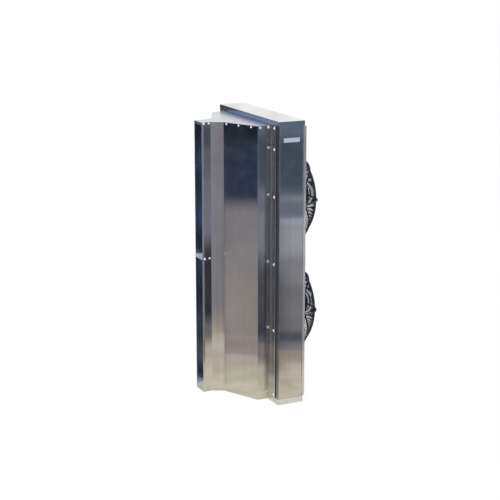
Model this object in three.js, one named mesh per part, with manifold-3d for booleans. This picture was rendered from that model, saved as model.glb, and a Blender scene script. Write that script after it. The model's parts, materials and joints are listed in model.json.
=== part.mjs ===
// Upright industrial air curtain in plain sheet steel: a shallow box with two guarded axial fans in its
// back, and a folded nozzle on its front that narrows to one tall slot. Millimetres, +Z up, air leaves
// towards -Y. The origin is the middle of the footprint, on the floor.

import * as THREE from "three";
import { mergeVertices } from "three/addons/utils/BufferGeometryUtils.js";
import Module from "manifold-3d";

const wasm = await Module();
wasm.setup();

// Fit between pieces that touch, and how far a cutting tool runs past the face it cuts.
const SEAT = 0.3;
const OVERRUN = 4;

// Fan box.
const UNIT_HEIGHT = 1500;
const BOX_HALF_WIDTH = 360;
const BOX_DEPTH = 140;
const PANEL_SHEET = 1.2;
const PANEL_RETURN = 22;

// Lid and base cap, pressed over the ends of the box.
const CAP_SHEET = 1.5;
const CAP_GAP = 0.5;
const CAP_REAR_REACH = 5;
const LID_FLANGE = 26;
const BASE_FLANGE = 33;
const ANCHOR_RADIUS = 4.5;
const ANCHOR_EDGE_X = 62;
const ANCHOR_EDGE_Y = 30;

// Back plate, a shallow pan that carries the fans, and the channel behind it.
const PAN_DEPTH = 14.7;
const STIFFENER_HEIGHT = 50;
const STIFFENER_DEPTH = 30;
const STIFFENER_SHEET = 1.5;
const STIFFENER_END_GAP = 3;

// Nozzle, by the inner faces of its walls. Reaches are measured forward from the front panel.
const NOZZLE_SHEET = 1.5;
const NOZZLE_TOP_DROP = 28;
const NOZZLE_FOOT = 18;
const MOUTH_HALF_WIDTH = 43;
const MOUTH_REACH = 289;
const LIP_LENGTH = 52;
const KNEE_HALF_WIDTH = 75.5;
const KNEE_REACH = 177;
const SHOULDER_INSET = 79.5;
const SHOULDER_REACH = 80;
const NOZZLE_FLANGE = 50;
const MOUTH_HEM = 10;
const END_PLATE_RIM = 30;
const END_PLATE_LIP = 14;
const DUCT_EDGE = 12;

// Strap that holds the two lips apart.
const SPACER_HEIGHT = 746;
const SPACER_DEPTH = 50;
const SPACER_SETBACK = 1;
const SPACER_TAB = 16;

// Inlet rings and guards. Depths are measured back from the outer face of the back plate.
const FAN_FOOT_MARGIN = 176.5;
const FAN_HEAD_MARGIN = 194.5;
const FAN_GAP = 77;
const THROAT_INSET = 34;
const BELL_RADIUS = 22;
const THROAT_LENGTH = 38;
const RING_SHEET = 1.5;
const RING_FLANGE = 15;
const GUARD_CROWN_RADIUS = 134;
const GUARD_HEIGHT = 175;
const GUARD_WIRE_RADIUS = 2;
const GUARD_HUB_RADIUS = 80;
const STRUT_WIDTH = 8;
const STRUT_THICKNESS = 8;
const STRUT_INNER_RADIUS = 50;
const WELD_DEPTH = 0.7;

// External-rotor motors.
const MOTOR_PLATE_RADIUS = 72;
const MOTOR_PLATE_THICKNESS = 3;
const STATOR_FLANGE_RADIUS = 54;
const STATOR_FLANGE_THICKNESS = 8;
const STACK_RADIUS = 46;
const STACK_LENGTH = 52;
const STACK_START = 20;
const BEARING_TUBE_RADIUS = 18;
const BEARING_TUBE_LENGTH = 115;
const BEARING_RADIUS = 13.7;
const BEARING_WIDTH = 11;
const BEARING_INSET = 3;
const SHAFT_RADIUS = 8;
const ROTOR_RADIUS = 62;
const ROTOR_WALL = 7;
const ROTOR_LENGTH = 129;
const ROTOR_AIR_GAP = 4.5;
const ROTOR_NOSE_RADIUS = 46;
const ROTOR_NOSE_DEPTH = 5;

// Impellers.
const TIP_GAP = 4;
const HUB_WALL = 4;
const HUB_LENGTH = 66;
const ROOT_CHORD = 92;
const TIP_CHORD = 150;
const ROOT_THICKNESS = 5;
const TIP_THICKNESS = 2.4;
const TIP_SET_BACK = 54;

// Terminal box on the back plate.
const TERMINAL_WIDTH = 110;
const TERMINAL_HEIGHT = 84;
const TERMINAL_DEPTH = 46;
const TERMINAL_WALL = 3;
const TERMINAL_LID = 9;
const TERMINAL_EDGE_X = 30;
const TERMINAL_EDGE_Z = 40;
const GLAND_RADIUS = 8;
const GLAND_LENGTH = 16;
const GLAND_NUT_RADIUS = 12;
const GLAND_NUT_HEIGHT = 9;
const GLAND_NOSE_RADIUS = 5;
const BLOCK_WIDTH = 72;
const BLOCK_HEIGHT = 22;
const BLOCK_DEPTH = 24;
const BLOCK_FOOT = 6;
const BLOCK_GROOVE = 3;

// Counts, angles and shares of the sizes that they follow.
const STRUT_COUNT = 6;
const BLADE_COUNT = 5;
const BLOCK_WAYS = 6;
const GLAND_NUT_SIDES = 6;
const TURN_STEPS = 32;
const MOTOR_TURN_STEPS = 24;
const WIRE_TURN_STEPS = 24;
const WIRE_SIDES = 5;
const SMALL_TURN_STEPS = 16;
const BELL_STEPS = 4;
const STRUT_STEPS = 8;
const BLADE_STATIONS = 6;
const CHORD_STEPS = 4;
const ROOT_PITCH_DEG = 38;
const TIP_PITCH_DEG = 20;
const TIP_SWEEP_DEG = 24;
const CAMBER_SHARE = 0.07;
const LEADING_BLUNT_SHARE = 0.35;
const DOME_RING_SHARES = [0, 0.24, 0.46, 0.66, 0.84, 1];
const WELD_TOLERANCE_SHARE = 1e-7;

// Places that several pieces share.
const capReach = CAP_GAP + CAP_SHEET;
const nozzleTop = UNIT_HEIGHT - NOZZLE_TOP_DROP;
const guardRadius = (UNIT_HEIGHT - FAN_FOOT_MARGIN - FAN_HEAD_MARGIN - FAN_GAP) / 4;
const lowerFanHeight = FAN_FOOT_MARGIN + guardRadius;
const upperFanHeight = UNIT_HEIGHT - FAN_HEAD_MARGIN - guardRadius;
const throatRadius = guardRadius - THROAT_INSET;
const shoulderHalfWidth = BOX_HALF_WIDTH - SHOULDER_INSET;
const flangeRear = -(capReach + SEAT);
const ductHalfWidth = shoulderHalfWidth - DUCT_EDGE;
const ductBottom = NOZZLE_FOOT + END_PLATE_RIM;
const ductTop = nozzleTop - END_PLATE_RIM;
const panFront = BOX_DEPTH + SEAT;
const panBack = panFront + PAN_DEPTH;
const panBottom = BASE_FLANGE + SEAT;
const panTop = UNIT_HEIGHT - LID_FLANGE - SEAT;
const bellRadius = throatRadius + BELL_RADIUS;
const ringFace = SEAT + RING_SHEET;
const guardFoot = ringFace + SEAT;
const wireCrown = GUARD_HEIGHT - STRUT_THICKNESS - GUARD_WIRE_RADIUS + WELD_DEPTH;
const wireBase = guardFoot + GUARD_WIRE_RADIUS;
const strutLift = GUARD_WIRE_RADIUS - WELD_DEPTH;
const motorPlateTop = wireCrown + strutLift - SEAT;
const statorTop = motorPlateTop - MOTOR_PLATE_THICKNESS - SEAT;
const statorFlangeBottom = statorTop - STATOR_FLANGE_THICKNESS;
const rotorMouth = statorFlangeBottom - ROTOR_AIR_GAP;
const rotorFront = rotorMouth - ROTOR_LENGTH;
const hubRadius = ROTOR_RADIUS + SEAT + HUB_WALL;
const tipRadius = throatRadius - TIP_GAP;

// Finishes, one for each kind of surface.
const brushedSteel = { color: 0xb3b4b2, roughness: 0.32, metalness: 1.0 };
const blackPaint = { color: 0x14161a, roughness: 0.5, metalness: 0.2 };
const darkAluminium = { color: 0x3a3d42, roughness: 0.45, metalness: 0.8 };
const blackPlastic = { color: 0x1b1c1f, roughness: 0.55, metalness: 0.0 };
const bearingSteel = { color: 0x8d9093, roughness: 0.25, metalness: 1.0 };
const castStator = { color: 0x4b4d50, roughness: 0.6, metalness: 0.7 };
const sealFoam = { color: 0x2a2b2c, roughness: 0.9, metalness: 0.0 };
const greyPlastic = { color: 0xb9bcc0, roughness: 0.5, metalness: 0.0 };
const zincSteel = { color: 0xa7abae, roughness: 0.4, metalness: 1.0 };

/** A named mesh with a material of its own. */
function piece(name, geometry, finish) {
  const mesh = new THREE.Mesh(geometry, new THREE.MeshStandardMaterial(finish));
  mesh.name = name;
  return mesh;
}

/** A group that holds the given children at a place. */
function assembly(children, x = 0, y = 0, z = 0) {
  const group = new THREE.Group();
  group.add(...children);
  group.position.set(x, y, z);
  return group;
}

/** The geometry as a solid for joining and cutting, with its shared points merged. */
function toSolid(geometry) {
  const bare = geometry.clone();
  bare.deleteAttribute("normal");
  bare.deleteAttribute("uv");
  const welded = mergeVertices(bare, UNIT_HEIGHT * WELD_TOLERANCE_SHARE);
  const corners = welded.index.array;
  const kept = [];
  for (let i = 0; i < corners.length; i += 3) {
    const [a, b, c] = corners.slice(i, i + 3);
    if (a !== b && b !== c && c !== a) {
      kept.push(a, b, c);
    }
  }
  const vertProperties = new Float32Array(welded.attributes.position.array);
  const triVerts = new Uint32Array(kept);
  return new wasm.Manifold(new wasm.Mesh({ numProp: 3, vertProperties, triVerts }));
}

/** A joined or cut solid as a geometry again. */
function toGeometry(solid) {
  const mesh = solid.getMesh();
  const geometry = new THREE.BufferGeometry();
  geometry.setAttribute("position", new THREE.BufferAttribute(mesh.vertProperties, 3));
  geometry.setIndex(new THREE.BufferAttribute(mesh.triVerts, 1));
  geometry.computeVertexNormals();
  return geometry;
}

/** The first geometry with all the others cut away. */
function cut(body, tools) {
  return toGeometry(tools.reduce((rest, tool) => rest.subtract(toSolid(tool)), toSolid(body)));
}

/** All the geometries joined into one. */
function join(parts) {
  return toGeometry(parts.slice(1).reduce((sum, part) => sum.add(toSolid(part)), toSolid(parts[0])));
}

/** A block between two corners. */
function block([x0, y0, z0], [x1, y1, z1]) {
  const geometry = new THREE.BoxGeometry(x1 - x0, y1 - y0, z1 - z0);
  return geometry.translate((x0 + x1) / 2, (y0 + y1) / 2, (z0 + z1) / 2);
}

/** An outline in plan, raised from one height to another. */
function raised(outline, bottom, top) {
  const shape = new THREE.Shape(outline.map(([x, y]) => new THREE.Vector2(x, y)));
  const geometry = new THREE.ExtrudeGeometry(shape, { depth: top - bottom, bevelEnabled: false });
  return geometry.translate(0, 0, bottom);
}

/** A path moved sideways with mitred corners, to its right for a positive distance. */
function offsetPath(path, distance) {
  const normals = path.slice(1).map(([x, y], i) => {
    const along = new THREE.Vector2(x - path[i][0], y - path[i][1]).normalize();
    return new THREE.Vector2(along.y, -along.x);
  });
  return path.map(([x, y], i) => {
    const before = normals[Math.max(i - 1, 0)];
    const after = normals[Math.min(i, normals.length - 1)];
    const mitre = before.clone().add(after);
    mitre.multiplyScalar(distance / (1 + before.dot(after)));
    return [x + mitre.x, y + mitre.y];
  });
}

/** The outline of a folded sheet, thickened to the right of its path. */
function foldedSheet(path, sheet) {
  return [...path, ...offsetPath(path, sheet).reverse()];
}

/** An outline seen in a mirror across the middle plane. */
function mirrored(outline) {
  return outline.map(([x, y]) => [-x, y]).reverse();
}

/** A closed profile of [radius, depth] points turned about the fan axis. */
function turned(profile, steps) {
  return new THREE.LatheGeometry(profile.map(([r, d]) => new THREE.Vector2(r, d)), steps);
}

/** A closed ring of rectangular section about the fan axis. */
function band(inner, outer, low, high, steps) {
  return turned([[inner, low], [outer, low], [outer, high], [inner, high], [inner, low]], steps);
}

/** A solid cylinder that lies along Y through a point. */
function barAlongY(radius, x, z, y0, y1, steps) {
  const geometry = new THREE.CylinderGeometry(radius, radius, y1 - y0, steps);
  return geometry.translate(x, (y0 + y1) / 2, z);
}

/** A shallow tray: a plate with a rim turned to one side all round. up is 1 for a rim that rises. */
function tray(low, high, sheet, up) {
  const innerLow = [low[0] + sheet, low[1] + sheet, up > 0 ? low[2] + sheet : low[2] - OVERRUN];
  const innerHigh = [high[0] - sheet, high[1] - sheet, up > 0 ? high[2] + OVERRUN : high[2] - sheet];
  return cut(block(low, high), [block(innerLow, innerHigh)]);
}

/** Lid and base cap: trays that slip over the ends of the box. */
function lid() {
  const half = BOX_HALF_WIDTH + capReach;
  const low = [-half, -capReach, UNIT_HEIGHT - LID_FLANGE];
  const high = [half, BOX_DEPTH + CAP_REAR_REACH, UNIT_HEIGHT];
  return piece("top_lid", tray(low, high, CAP_SHEET, -1), brushedSteel);
}

function baseCap() {
  const half = BOX_HALF_WIDTH + capReach;
  const body = tray([-half, -capReach, 0], [half, BOX_DEPTH + CAP_REAR_REACH, BASE_FLANGE], CAP_SHEET, 1);
  const anchorX = BOX_HALF_WIDTH - ANCHOR_EDGE_X;
  const length = CAP_SHEET + 2 * OVERRUN;
  const anchors = [];
  for (const x of [-anchorX, anchorX]) {
    for (const y of [ANCHOR_EDGE_Y, BOX_DEPTH - ANCHOR_EDGE_Y]) {
      const hole = new THREE.CylinderGeometry(ANCHOR_RADIUS, ANCHOR_RADIUS, length, SMALL_TURN_STEPS);
      anchors.push(hole.rotateX(Math.PI / 2).translate(x, y, 0));
    }
  }
  return piece("bottom_cap", cut(body, anchors), brushedSteel);
}

/** Front panel with the duct opening that the nozzle covers. */
function frontPanel() {
  const low = [-BOX_HALF_WIDTH, 0, CAP_SHEET + SEAT];
  const high = [BOX_HALF_WIDTH, PANEL_SHEET, UNIT_HEIGHT - CAP_SHEET - SEAT];
  const opening = block([-ductHalfWidth, -OVERRUN, ductBottom], [ductHalfWidth, OVERRUN, ductTop]);
  return piece("front_panel", cut(block(low, high), [opening]), brushedSteel);
}

/** Side panels, each with a return turned in along both long edges. */
function sidePanels() {
  const front = PANEL_SHEET + SEAT;
  const path = [
    [BOX_HALF_WIDTH - PANEL_RETURN, BOX_DEPTH],
    [BOX_HALF_WIDTH, BOX_DEPTH],
    [BOX_HALF_WIDTH, front],
    [BOX_HALF_WIDTH - PANEL_RETURN, front],
  ];
  const outline = foldedSheet(path, PANEL_SHEET);
  const bottom = CAP_SHEET + SEAT;
  const top = UNIT_HEIGHT - CAP_SHEET - SEAT;
  return [
    piece("near_side_panel", raised(outline, bottom, top), brushedSteel),
    piece("far_side_panel", raised(mirrored(outline), bottom, top), brushedSteel),
  ];
}

/** Back plate: a pan with its rim turned forward and a hole for each inlet ring. */
function backPlate() {
  const pan = block([-BOX_HALF_WIDTH, panFront, panBottom], [BOX_HALF_WIDTH, panBack, panTop]);
  const hollow = block(
    [-BOX_HALF_WIDTH + PANEL_SHEET, panFront - OVERRUN, panBottom + PANEL_SHEET],
    [BOX_HALF_WIDTH - PANEL_SHEET, panBack - PANEL_SHEET, panTop - PANEL_SHEET],
  );
  const holes = [lowerFanHeight, upperFanHeight].map((z) =>
    barAlongY(bellRadius, 0, z, panFront, panBack + OVERRUN, TURN_STEPS),
  );
  return piece("back_plate", cut(pan, [hollow, ...holes]), brushedSteel);
}

/** Channel that stiffens the back plate between the two fans. */
function stiffener() {
  const half = BOX_HALF_WIDTH - PANEL_RETURN - STIFFENER_END_GAP;
  const back = panBack - PANEL_SHEET - SEAT;
  const middle = (lowerFanHeight + upperFanHeight) / 2;
  const low = middle - STIFFENER_HEIGHT / 2;
  const high = middle + STIFFENER_HEIGHT / 2;
  const front = back - STIFFENER_DEPTH;
  const solid = block([-half, front, low], [half, back, high]);
  const hollow = block(
    [-half - OVERRUN, front - OVERRUN, low + STIFFENER_SHEET],
    [half + OVERRUN, back - STIFFENER_SHEET, high - STIFFENER_SHEET],
  );
  return piece("back_plate_stiffener", cut(solid, [hollow]), zincSteel);
}

/** Inner face of the near nozzle wall, from the mouth back to the box. */
function nozzlePath(rear) {
  return [
    [MOUTH_HALF_WIDTH, -MOUTH_REACH],
    [MOUTH_HALF_WIDTH, LIP_LENGTH - MOUTH_REACH],
    [KNEE_HALF_WIDTH, -KNEE_REACH],
    [shoulderHalfWidth, -SHOULDER_REACH],
    [shoulderHalfWidth, rear],
  ];
}

/** Nozzle walls: one folded sheet each, hemmed at the mouth and flanged where it meets the box. */
function nozzleWalls() {
  const flangeEdge = [shoulderHalfWidth + NOZZLE_FLANGE, flangeRear];
  const path = [...nozzlePath(flangeRear), flangeEdge];
  const sheet = foldedSheet(path, NOZZLE_SHEET);
  const outerMouth = sheet.pop();
  const hemFace = outerMouth[0] + NOZZLE_SHEET;
  const hemEnd = outerMouth[1] + MOUTH_HEM;
  const outline = [...sheet, [outerMouth[0], hemEnd], [hemFace, hemEnd], [hemFace, outerMouth[1]]];
  return [
    piece("nozzle_near_wall", raised(outline, NOZZLE_FOOT, nozzleTop), brushedSteel),
    piece("nozzle_far_wall", raised(mirrored(outline), NOZZLE_FOOT, nozzleTop), brushedSteel),
  ];
}

/** Plan of the nozzle's inside, drawn in by a margin. */
function nozzlePlan(margin, front, rear) {
  const side = offsetPath(nozzlePath(rear), -margin);
  side[0][1] = front;
  side[side.length - 1][1] = rear;
  return [...side, ...mirrored(side)];
}

/** Top or bottom end plate: the nozzle's plan with a rim all round, low at the mouth. */
function nozzleEndPlate(name, face, inward) {
  const span = (depth) => [face, face + inward * depth].sort((a, b) => a - b);
  const mouthFace = NOZZLE_SHEET - MOUTH_REACH;
  const outer = raised(nozzlePlan(SEAT, -MOUTH_REACH, flangeRear), ...span(END_PLATE_RIM));
  const hollowSpan = [face + inward * NOZZLE_SHEET, face + inward * (END_PLATE_RIM + OVERRUN)];
  const hollowPlan = nozzlePlan(SEAT + NOZZLE_SHEET, mouthFace, flangeRear - NOZZLE_SHEET);
  const hollow = raised(hollowPlan, ...hollowSpan.sort((a, b) => a - b));
  const notchHalf = MOUTH_HALF_WIDTH - SEAT - NOZZLE_SHEET;
  const notchSpan = [face + inward * END_PLATE_LIP, face + inward * (END_PLATE_RIM + OVERRUN)];
  const [notchLow, notchHigh] = notchSpan.sort((a, b) => a - b);
  const notch = block(
    [-notchHalf, -MOUTH_REACH - OVERRUN, notchLow],
    [notchHalf, mouthFace + OVERRUN, notchHigh],
  );
  return piece(name, cut(outer, [hollow, notch]), brushedSteel);
}

/** Flat seal between the nozzle's flanges and the front panel. */
function ductGasket() {
  const half = shoulderHalfWidth + NOZZLE_FLANGE;
  const front = -capReach;
  const frame = block([-half, front, BASE_FLANGE + SEAT], [half, -SEAT, nozzleTop]);
  const opening = block([-ductHalfWidth, front - OVERRUN, ductBottom], [ductHalfWidth, OVERRUN, ductTop]);
  return piece("duct_gasket", cut(frame, [opening]), sealFoam);
}

/** Strap across the slot at mid height, with a tab turned up against each lip. */
function outletSpacer() {
  const half = MOUTH_HALF_WIDTH - SEAT;
  const front = SPACER_SETBACK - MOUTH_REACH;
  const back = front + SPACER_DEPTH;
  const solid = block([-half, front, SPACER_HEIGHT], [half, back, SPACER_HEIGHT + SPACER_TAB]);
  const hollow = block(
    [-half + NOZZLE_SHEET, front - OVERRUN, SPACER_HEIGHT + NOZZLE_SHEET],
    [half - NOZZLE_SHEET, back + OVERRUN, SPACER_HEIGHT + SPACER_TAB + OVERRUN],
  );
  return piece("outlet_spacer", cut(solid, [hollow]), brushedSteel);
}

/** Inlet ring: a flat flange, a quarter-round bell and a straight throat, in one spun sheet. */
function inletRing(name) {
  const centre = ringFace - BELL_RADIUS;
  const throatEnd = centre - THROAT_LENGTH;
  const arc = (radius) => {
    const points = [];
    for (let i = 0; i <= BELL_STEPS; i += 1) {
      const turn = (Math.PI / 2) * (i / BELL_STEPS);
      points.push([bellRadius - radius * Math.cos(turn), centre + radius * Math.sin(turn)]);
    }
    return points;
  };
  const airSide = [[throatRadius, throatEnd], ...arc(BELL_RADIUS)];
  const rim = bellRadius + RING_FLANGE;
  const backSide = [...arc(BELL_RADIUS - RING_SHEET).reverse(), [throatRadius + RING_SHEET, throatEnd]];
  const profile = [...airSide, [rim, ringFace], [rim, SEAT], ...backSide, airSide[0]];
  return piece(name, turned(profile.reverse(), TURN_STEPS), blackPaint);
}

/** A point of the guard's dome, from its foot at share 0 to its crown at share 1. */
function domePoint(share, lift) {
  const turn = (Math.PI / 2) * share;
  const shoulder = guardRadius - GUARD_CROWN_RADIUS;
  const rise = wireCrown - wireBase;
  return [
    GUARD_CROWN_RADIUS + (shoulder + lift) * Math.cos(turn),
    wireBase + (rise + lift) * Math.sin(turn),
  ];
}

/** One round wire of the guard, with corners where the struts cross it. */
function guardWire(radius, depth) {
  const profile = [];
  for (let i = 0; i <= WIRE_SIDES; i += 1) {
    const turn = (2 * Math.PI * (i % WIRE_SIDES)) / WIRE_SIDES;
    profile.push([radius + GUARD_WIRE_RADIUS * Math.cos(turn), depth + GUARD_WIRE_RADIUS * Math.sin(turn)]);
  }
  return turned(profile, WIRE_TURN_STEPS).rotateY(Math.PI / 2);
}

/** One strut of the guard, bent over the dome from the foot to the motor. */
function guardStrut(angle) {
  const edge = (lift) => {
    const points = [[domePoint(0, lift)[0], guardFoot]];
    for (let i = 0; i <= STRUT_STEPS; i += 1) {
      points.push(domePoint(i / STRUT_STEPS, lift));
    }
    return [...points, [STRUT_INNER_RADIUS, domePoint(1, lift)[1]]];
  };
  const outline = [...edge(strutLift + STRUT_THICKNESS), ...edge(strutLift).reverse()];
  const geometry = raised(outline, -STRUT_WIDTH / 2, STRUT_WIDTH / 2);
  return geometry.rotateY(angle);
}

/** Guard: domed rings welded inside six struts. */
function guard(name) {
  const wires = DOME_RING_SHARES.map((share) => guardWire(...domePoint(share, 0)));
  wires.push(guardWire((GUARD_CROWN_RADIUS + GUARD_HUB_RADIUS) / 2, wireCrown));
  wires.push(guardWire(GUARD_HUB_RADIUS, wireCrown));
  const struts = [];
  for (let i = 0; i < STRUT_COUNT; i += 1) {
    struts.push(guardStrut((2 * Math.PI * i) / STRUT_COUNT));
  }
  return piece(name, join([...wires, ...struts]), blackPaint);
}

/** Round plate that the struts carry and the motor is bolted to. */
function motorPlate(name) {
  const under = motorPlateTop - MOTOR_PLATE_THICKNESS;
  const profile = [
    [0, under],
    [MOTOR_PLATE_RADIUS, under],
    [MOTOR_PLATE_RADIUS, motorPlateTop],
    [0, motorPlateTop],
  ];
  return piece(name, turned(profile, MOTOR_TURN_STEPS), blackPaint);
}

/** Stator: mounting flange, winding stack and bearing tube in one turned body. */
function motorStator(name) {
  const bore = BEARING_RADIUS + SEAT;
  const stackTop = statorFlangeBottom - STACK_START;
  const stackBottom = stackTop - STACK_LENGTH;
  const tubeEnd = statorFlangeBottom - BEARING_TUBE_LENGTH;
  const profile = [
    [bore, tubeEnd],
    [BEARING_TUBE_RADIUS, tubeEnd],
    [BEARING_TUBE_RADIUS, stackBottom],
    [STACK_RADIUS, stackBottom],
    [STACK_RADIUS, stackTop],
    [BEARING_TUBE_RADIUS, stackTop],
    [BEARING_TUBE_RADIUS, statorFlangeBottom],
    [STATOR_FLANGE_RADIUS, statorFlangeBottom],
    [STATOR_FLANGE_RADIUS, statorTop],
    [bore, statorTop],
    [bore, tubeEnd],
  ];
  return piece(name, turned(profile, MOTOR_TURN_STEPS), castStator);
}

/** The two ball bearings, pressed into the ends of the bearing tube. */
function bearings(prefix) {
  const tubeEnd = statorFlangeBottom - BEARING_TUBE_LENGTH;
  const inner = SHAFT_RADIUS + SEAT;
  const rear = statorTop - BEARING_INSET;
  const front = tubeEnd + BEARING_INSET;
  return [
    piece(
      `${prefix}_motor_bearing_rear`,
      band(inner, BEARING_RADIUS, rear - BEARING_WIDTH, rear, SMALL_TURN_STEPS),
      bearingSteel,
    ),
    piece(
      `${prefix}_motor_bearing_front`,
      band(inner, BEARING_RADIUS, front, front + BEARING_WIDTH, SMALL_TURN_STEPS),
      bearingSteel,
    ),
  ];
}

/** Rotor: the can that turns round the stator, with its shaft. */
function rotor(name) {
  const floor = rotorFront + ROTOR_WALL;
  const profile = [
    [0, rotorFront + ROTOR_NOSE_DEPTH],
    [ROTOR_NOSE_RADIUS - ROTOR_NOSE_DEPTH, rotorFront + ROTOR_NOSE_DEPTH],
    [ROTOR_NOSE_RADIUS, rotorFront],
    [ROTOR_RADIUS, rotorFront],
    [ROTOR_RADIUS, rotorMouth],
    [ROTOR_RADIUS - ROTOR_WALL, rotorMouth],
    [ROTOR_RADIUS - ROTOR_WALL, floor + ROTOR_NOSE_DEPTH],
    [SHAFT_RADIUS, floor + ROTOR_NOSE_DEPTH],
    [SHAFT_RADIUS, statorTop - SEAT],
    [0, statorTop - SEAT],
  ];
  return piece(name, turned(profile, MOTOR_TURN_STEPS), darkAluminium);
}

/** One section of a blade, rolled onto the cylinder at its radius. */
function bladeSection(share) {
  const root = ROTOR_RADIUS + SEAT + HUB_WALL / 2;
  const radius = root + (tipRadius - root) * share;
  const chord = ROOT_CHORD + (TIP_CHORD - ROOT_CHORD) * share;
  const pitch = THREE.MathUtils.degToRad(ROOT_PITCH_DEG + (TIP_PITCH_DEG - ROOT_PITCH_DEG) * share);
  const sweep = THREE.MathUtils.degToRad(TIP_SWEEP_DEG) * share * share;
  const thickness = ROOT_THICKNESS + (TIP_THICKNESS - ROOT_THICKNESS) * share;
  const middle = rotorFront + HUB_LENGTH / 2 - TIP_SET_BACK * share;
  const place = (t, side) => {
    const along = (t - 1 / 2) * chord;
    const arch = 4 * t * (1 - t);
    const half = (thickness / 2) * (LEADING_BLUNT_SHARE + (1 - LEADING_BLUNT_SHARE) * arch);
    const off = CAMBER_SHARE * chord * arch + side * half;
    const across = along * Math.cos(pitch) - off * Math.sin(pitch);
    const depth = middle + along * Math.sin(pitch) + off * Math.cos(pitch);
    const turn = sweep + across / radius;
    return [radius * Math.cos(turn), depth, radius * Math.sin(turn)];
  };
  const points = [];
  for (let i = 0; i <= CHORD_STEPS; i += 1) {
    points.push(place(i / CHORD_STEPS, 1));
  }
  for (let i = CHORD_STEPS; i >= 0; i -= 1) {
    points.push(place(i / CHORD_STEPS, -1));
  }
  return points;
}

/** One sickle blade, lofted through its sections from root to tip. */
function blade(angle) {
  const sections = [];
  for (let i = 0; i < BLADE_STATIONS; i += 1) {
    sections.push(bladeSection(i / (BLADE_STATIONS - 1)));
  }
  const ring = sections[0].length;
  const faces = [];
  for (let s = 0; s + 1 < sections.length; s += 1) {
    for (let i = 0; i < ring; i += 1) {
      const a = s * ring + i;
      const b = s * ring + ((i + 1) % ring);
      faces.push(a, b, a + ring, b, b + ring, a + ring);
    }
  }
  const tip = (sections.length - 1) * ring;
  for (let i = 0; i < CHORD_STEPS; i += 1) {
    const j = ring - 1 - i;
    faces.push(i, j, i + 1, i + 1, j, j - 1);
    faces.push(tip + i, tip + i + 1, tip + j, tip + i + 1, tip + j - 1, tip + j);
  }
  const geometry = new THREE.BufferGeometry();
  geometry.setAttribute("position", new THREE.Float32BufferAttribute(sections.flat(2), 3));
  geometry.setIndex(faces);
  return geometry.rotateY(angle);
}

/** Impeller: a sleeve on the rotor can with sickle blades. */
function impeller(name) {
  const sleeveEnd = rotorFront + HUB_LENGTH;
  const sleeve = band(ROTOR_RADIUS + SEAT, hubRadius, rotorFront, sleeveEnd, MOTOR_TURN_STEPS);
  const blades = [];
  for (let i = 0; i < BLADE_COUNT; i += 1) {
    blades.push(blade((2 * Math.PI * i) / BLADE_COUNT));
  }
  return piece(name, join([sleeve, ...blades]), darkAluminium);
}

/** A complete fan: inlet ring, guard and motor held still, rotor and impeller turning together. */
function fan(prefix, height) {
  const fixed = [
    inletRing(`${prefix}_inlet_ring`),
    guard(`${prefix}_fan_guard`),
    motorPlate(`${prefix}_motor_plate`),
    motorStator(`${prefix}_motor_stator`),
    ...bearings(prefix),
  ];
  const turning = [rotor(`${prefix}_motor_rotor`), impeller(`${prefix}_impeller`)];
  return assembly([...fixed, assembly(turning)], 0, panBack, height);
}

/** Housing of the terminal box, open to its lid. */
function terminalHousing() {
  const half = TERMINAL_WIDTH / 2;
  const depth = TERMINAL_DEPTH - TERMINAL_LID;
  const rise = TERMINAL_HEIGHT / 2;
  const body = block([-half, SEAT, -rise], [half, depth, rise]);
  const hollow = block(
    [-half + TERMINAL_WALL, SEAT + TERMINAL_WALL, -rise + TERMINAL_WALL],
    [half - TERMINAL_WALL, depth + OVERRUN, rise - TERMINAL_WALL],
  );
  return piece("terminal_box", cut(body, [hollow]), greyPlastic);
}

/** Lid of the terminal box, with a raised panel and a lip that drops inside the housing. */
function terminalLid() {
  const half = TERMINAL_WIDTH / 2;
  const rise = TERMINAL_HEIGHT / 2;
  const face = TERMINAL_DEPTH - TERMINAL_LID + SEAT;
  const plate = block([-half, face, -rise], [half, TERMINAL_DEPTH - TERMINAL_WALL, rise]);
  const panel = block(
    [-half + TERMINAL_WALL, face, -rise + TERMINAL_WALL],
    [half - TERMINAL_WALL, TERMINAL_DEPTH, rise - TERMINAL_WALL],
  );
  const reach = TERMINAL_WALL + SEAT;
  const lip = block(
    [-half + reach, face - TERMINAL_WALL, -rise + reach],
    [half - reach, face + SEAT, rise - reach],
  );
  return piece("terminal_box_lid", join([plate, panel, lip]), greyPlastic);
}

/** Terminal block on the floor of the box, one groove between each pair of ways. */
function terminalBlock() {
  const floor = SEAT + TERMINAL_WALL + SEAT;
  const half = BLOCK_WIDTH / 2;
  const rise = BLOCK_HEIGHT / 2;
  const body = block([-half, floor, -rise], [half, floor + BLOCK_DEPTH, rise]);
  const grooves = [];
  for (let i = 1; i < BLOCK_WAYS; i += 1) {
    const x = -half + (BLOCK_WIDTH * i) / BLOCK_WAYS;
    grooves.push(
      block(
        [x - BLOCK_GROOVE / 2, floor + BLOCK_FOOT, -rise - OVERRUN],
        [x + BLOCK_GROOVE / 2, floor + BLOCK_DEPTH + OVERRUN, rise + OVERRUN],
      ),
    );
  }
  return piece("terminal_block", cut(body, grooves), blackPlastic);
}

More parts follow.
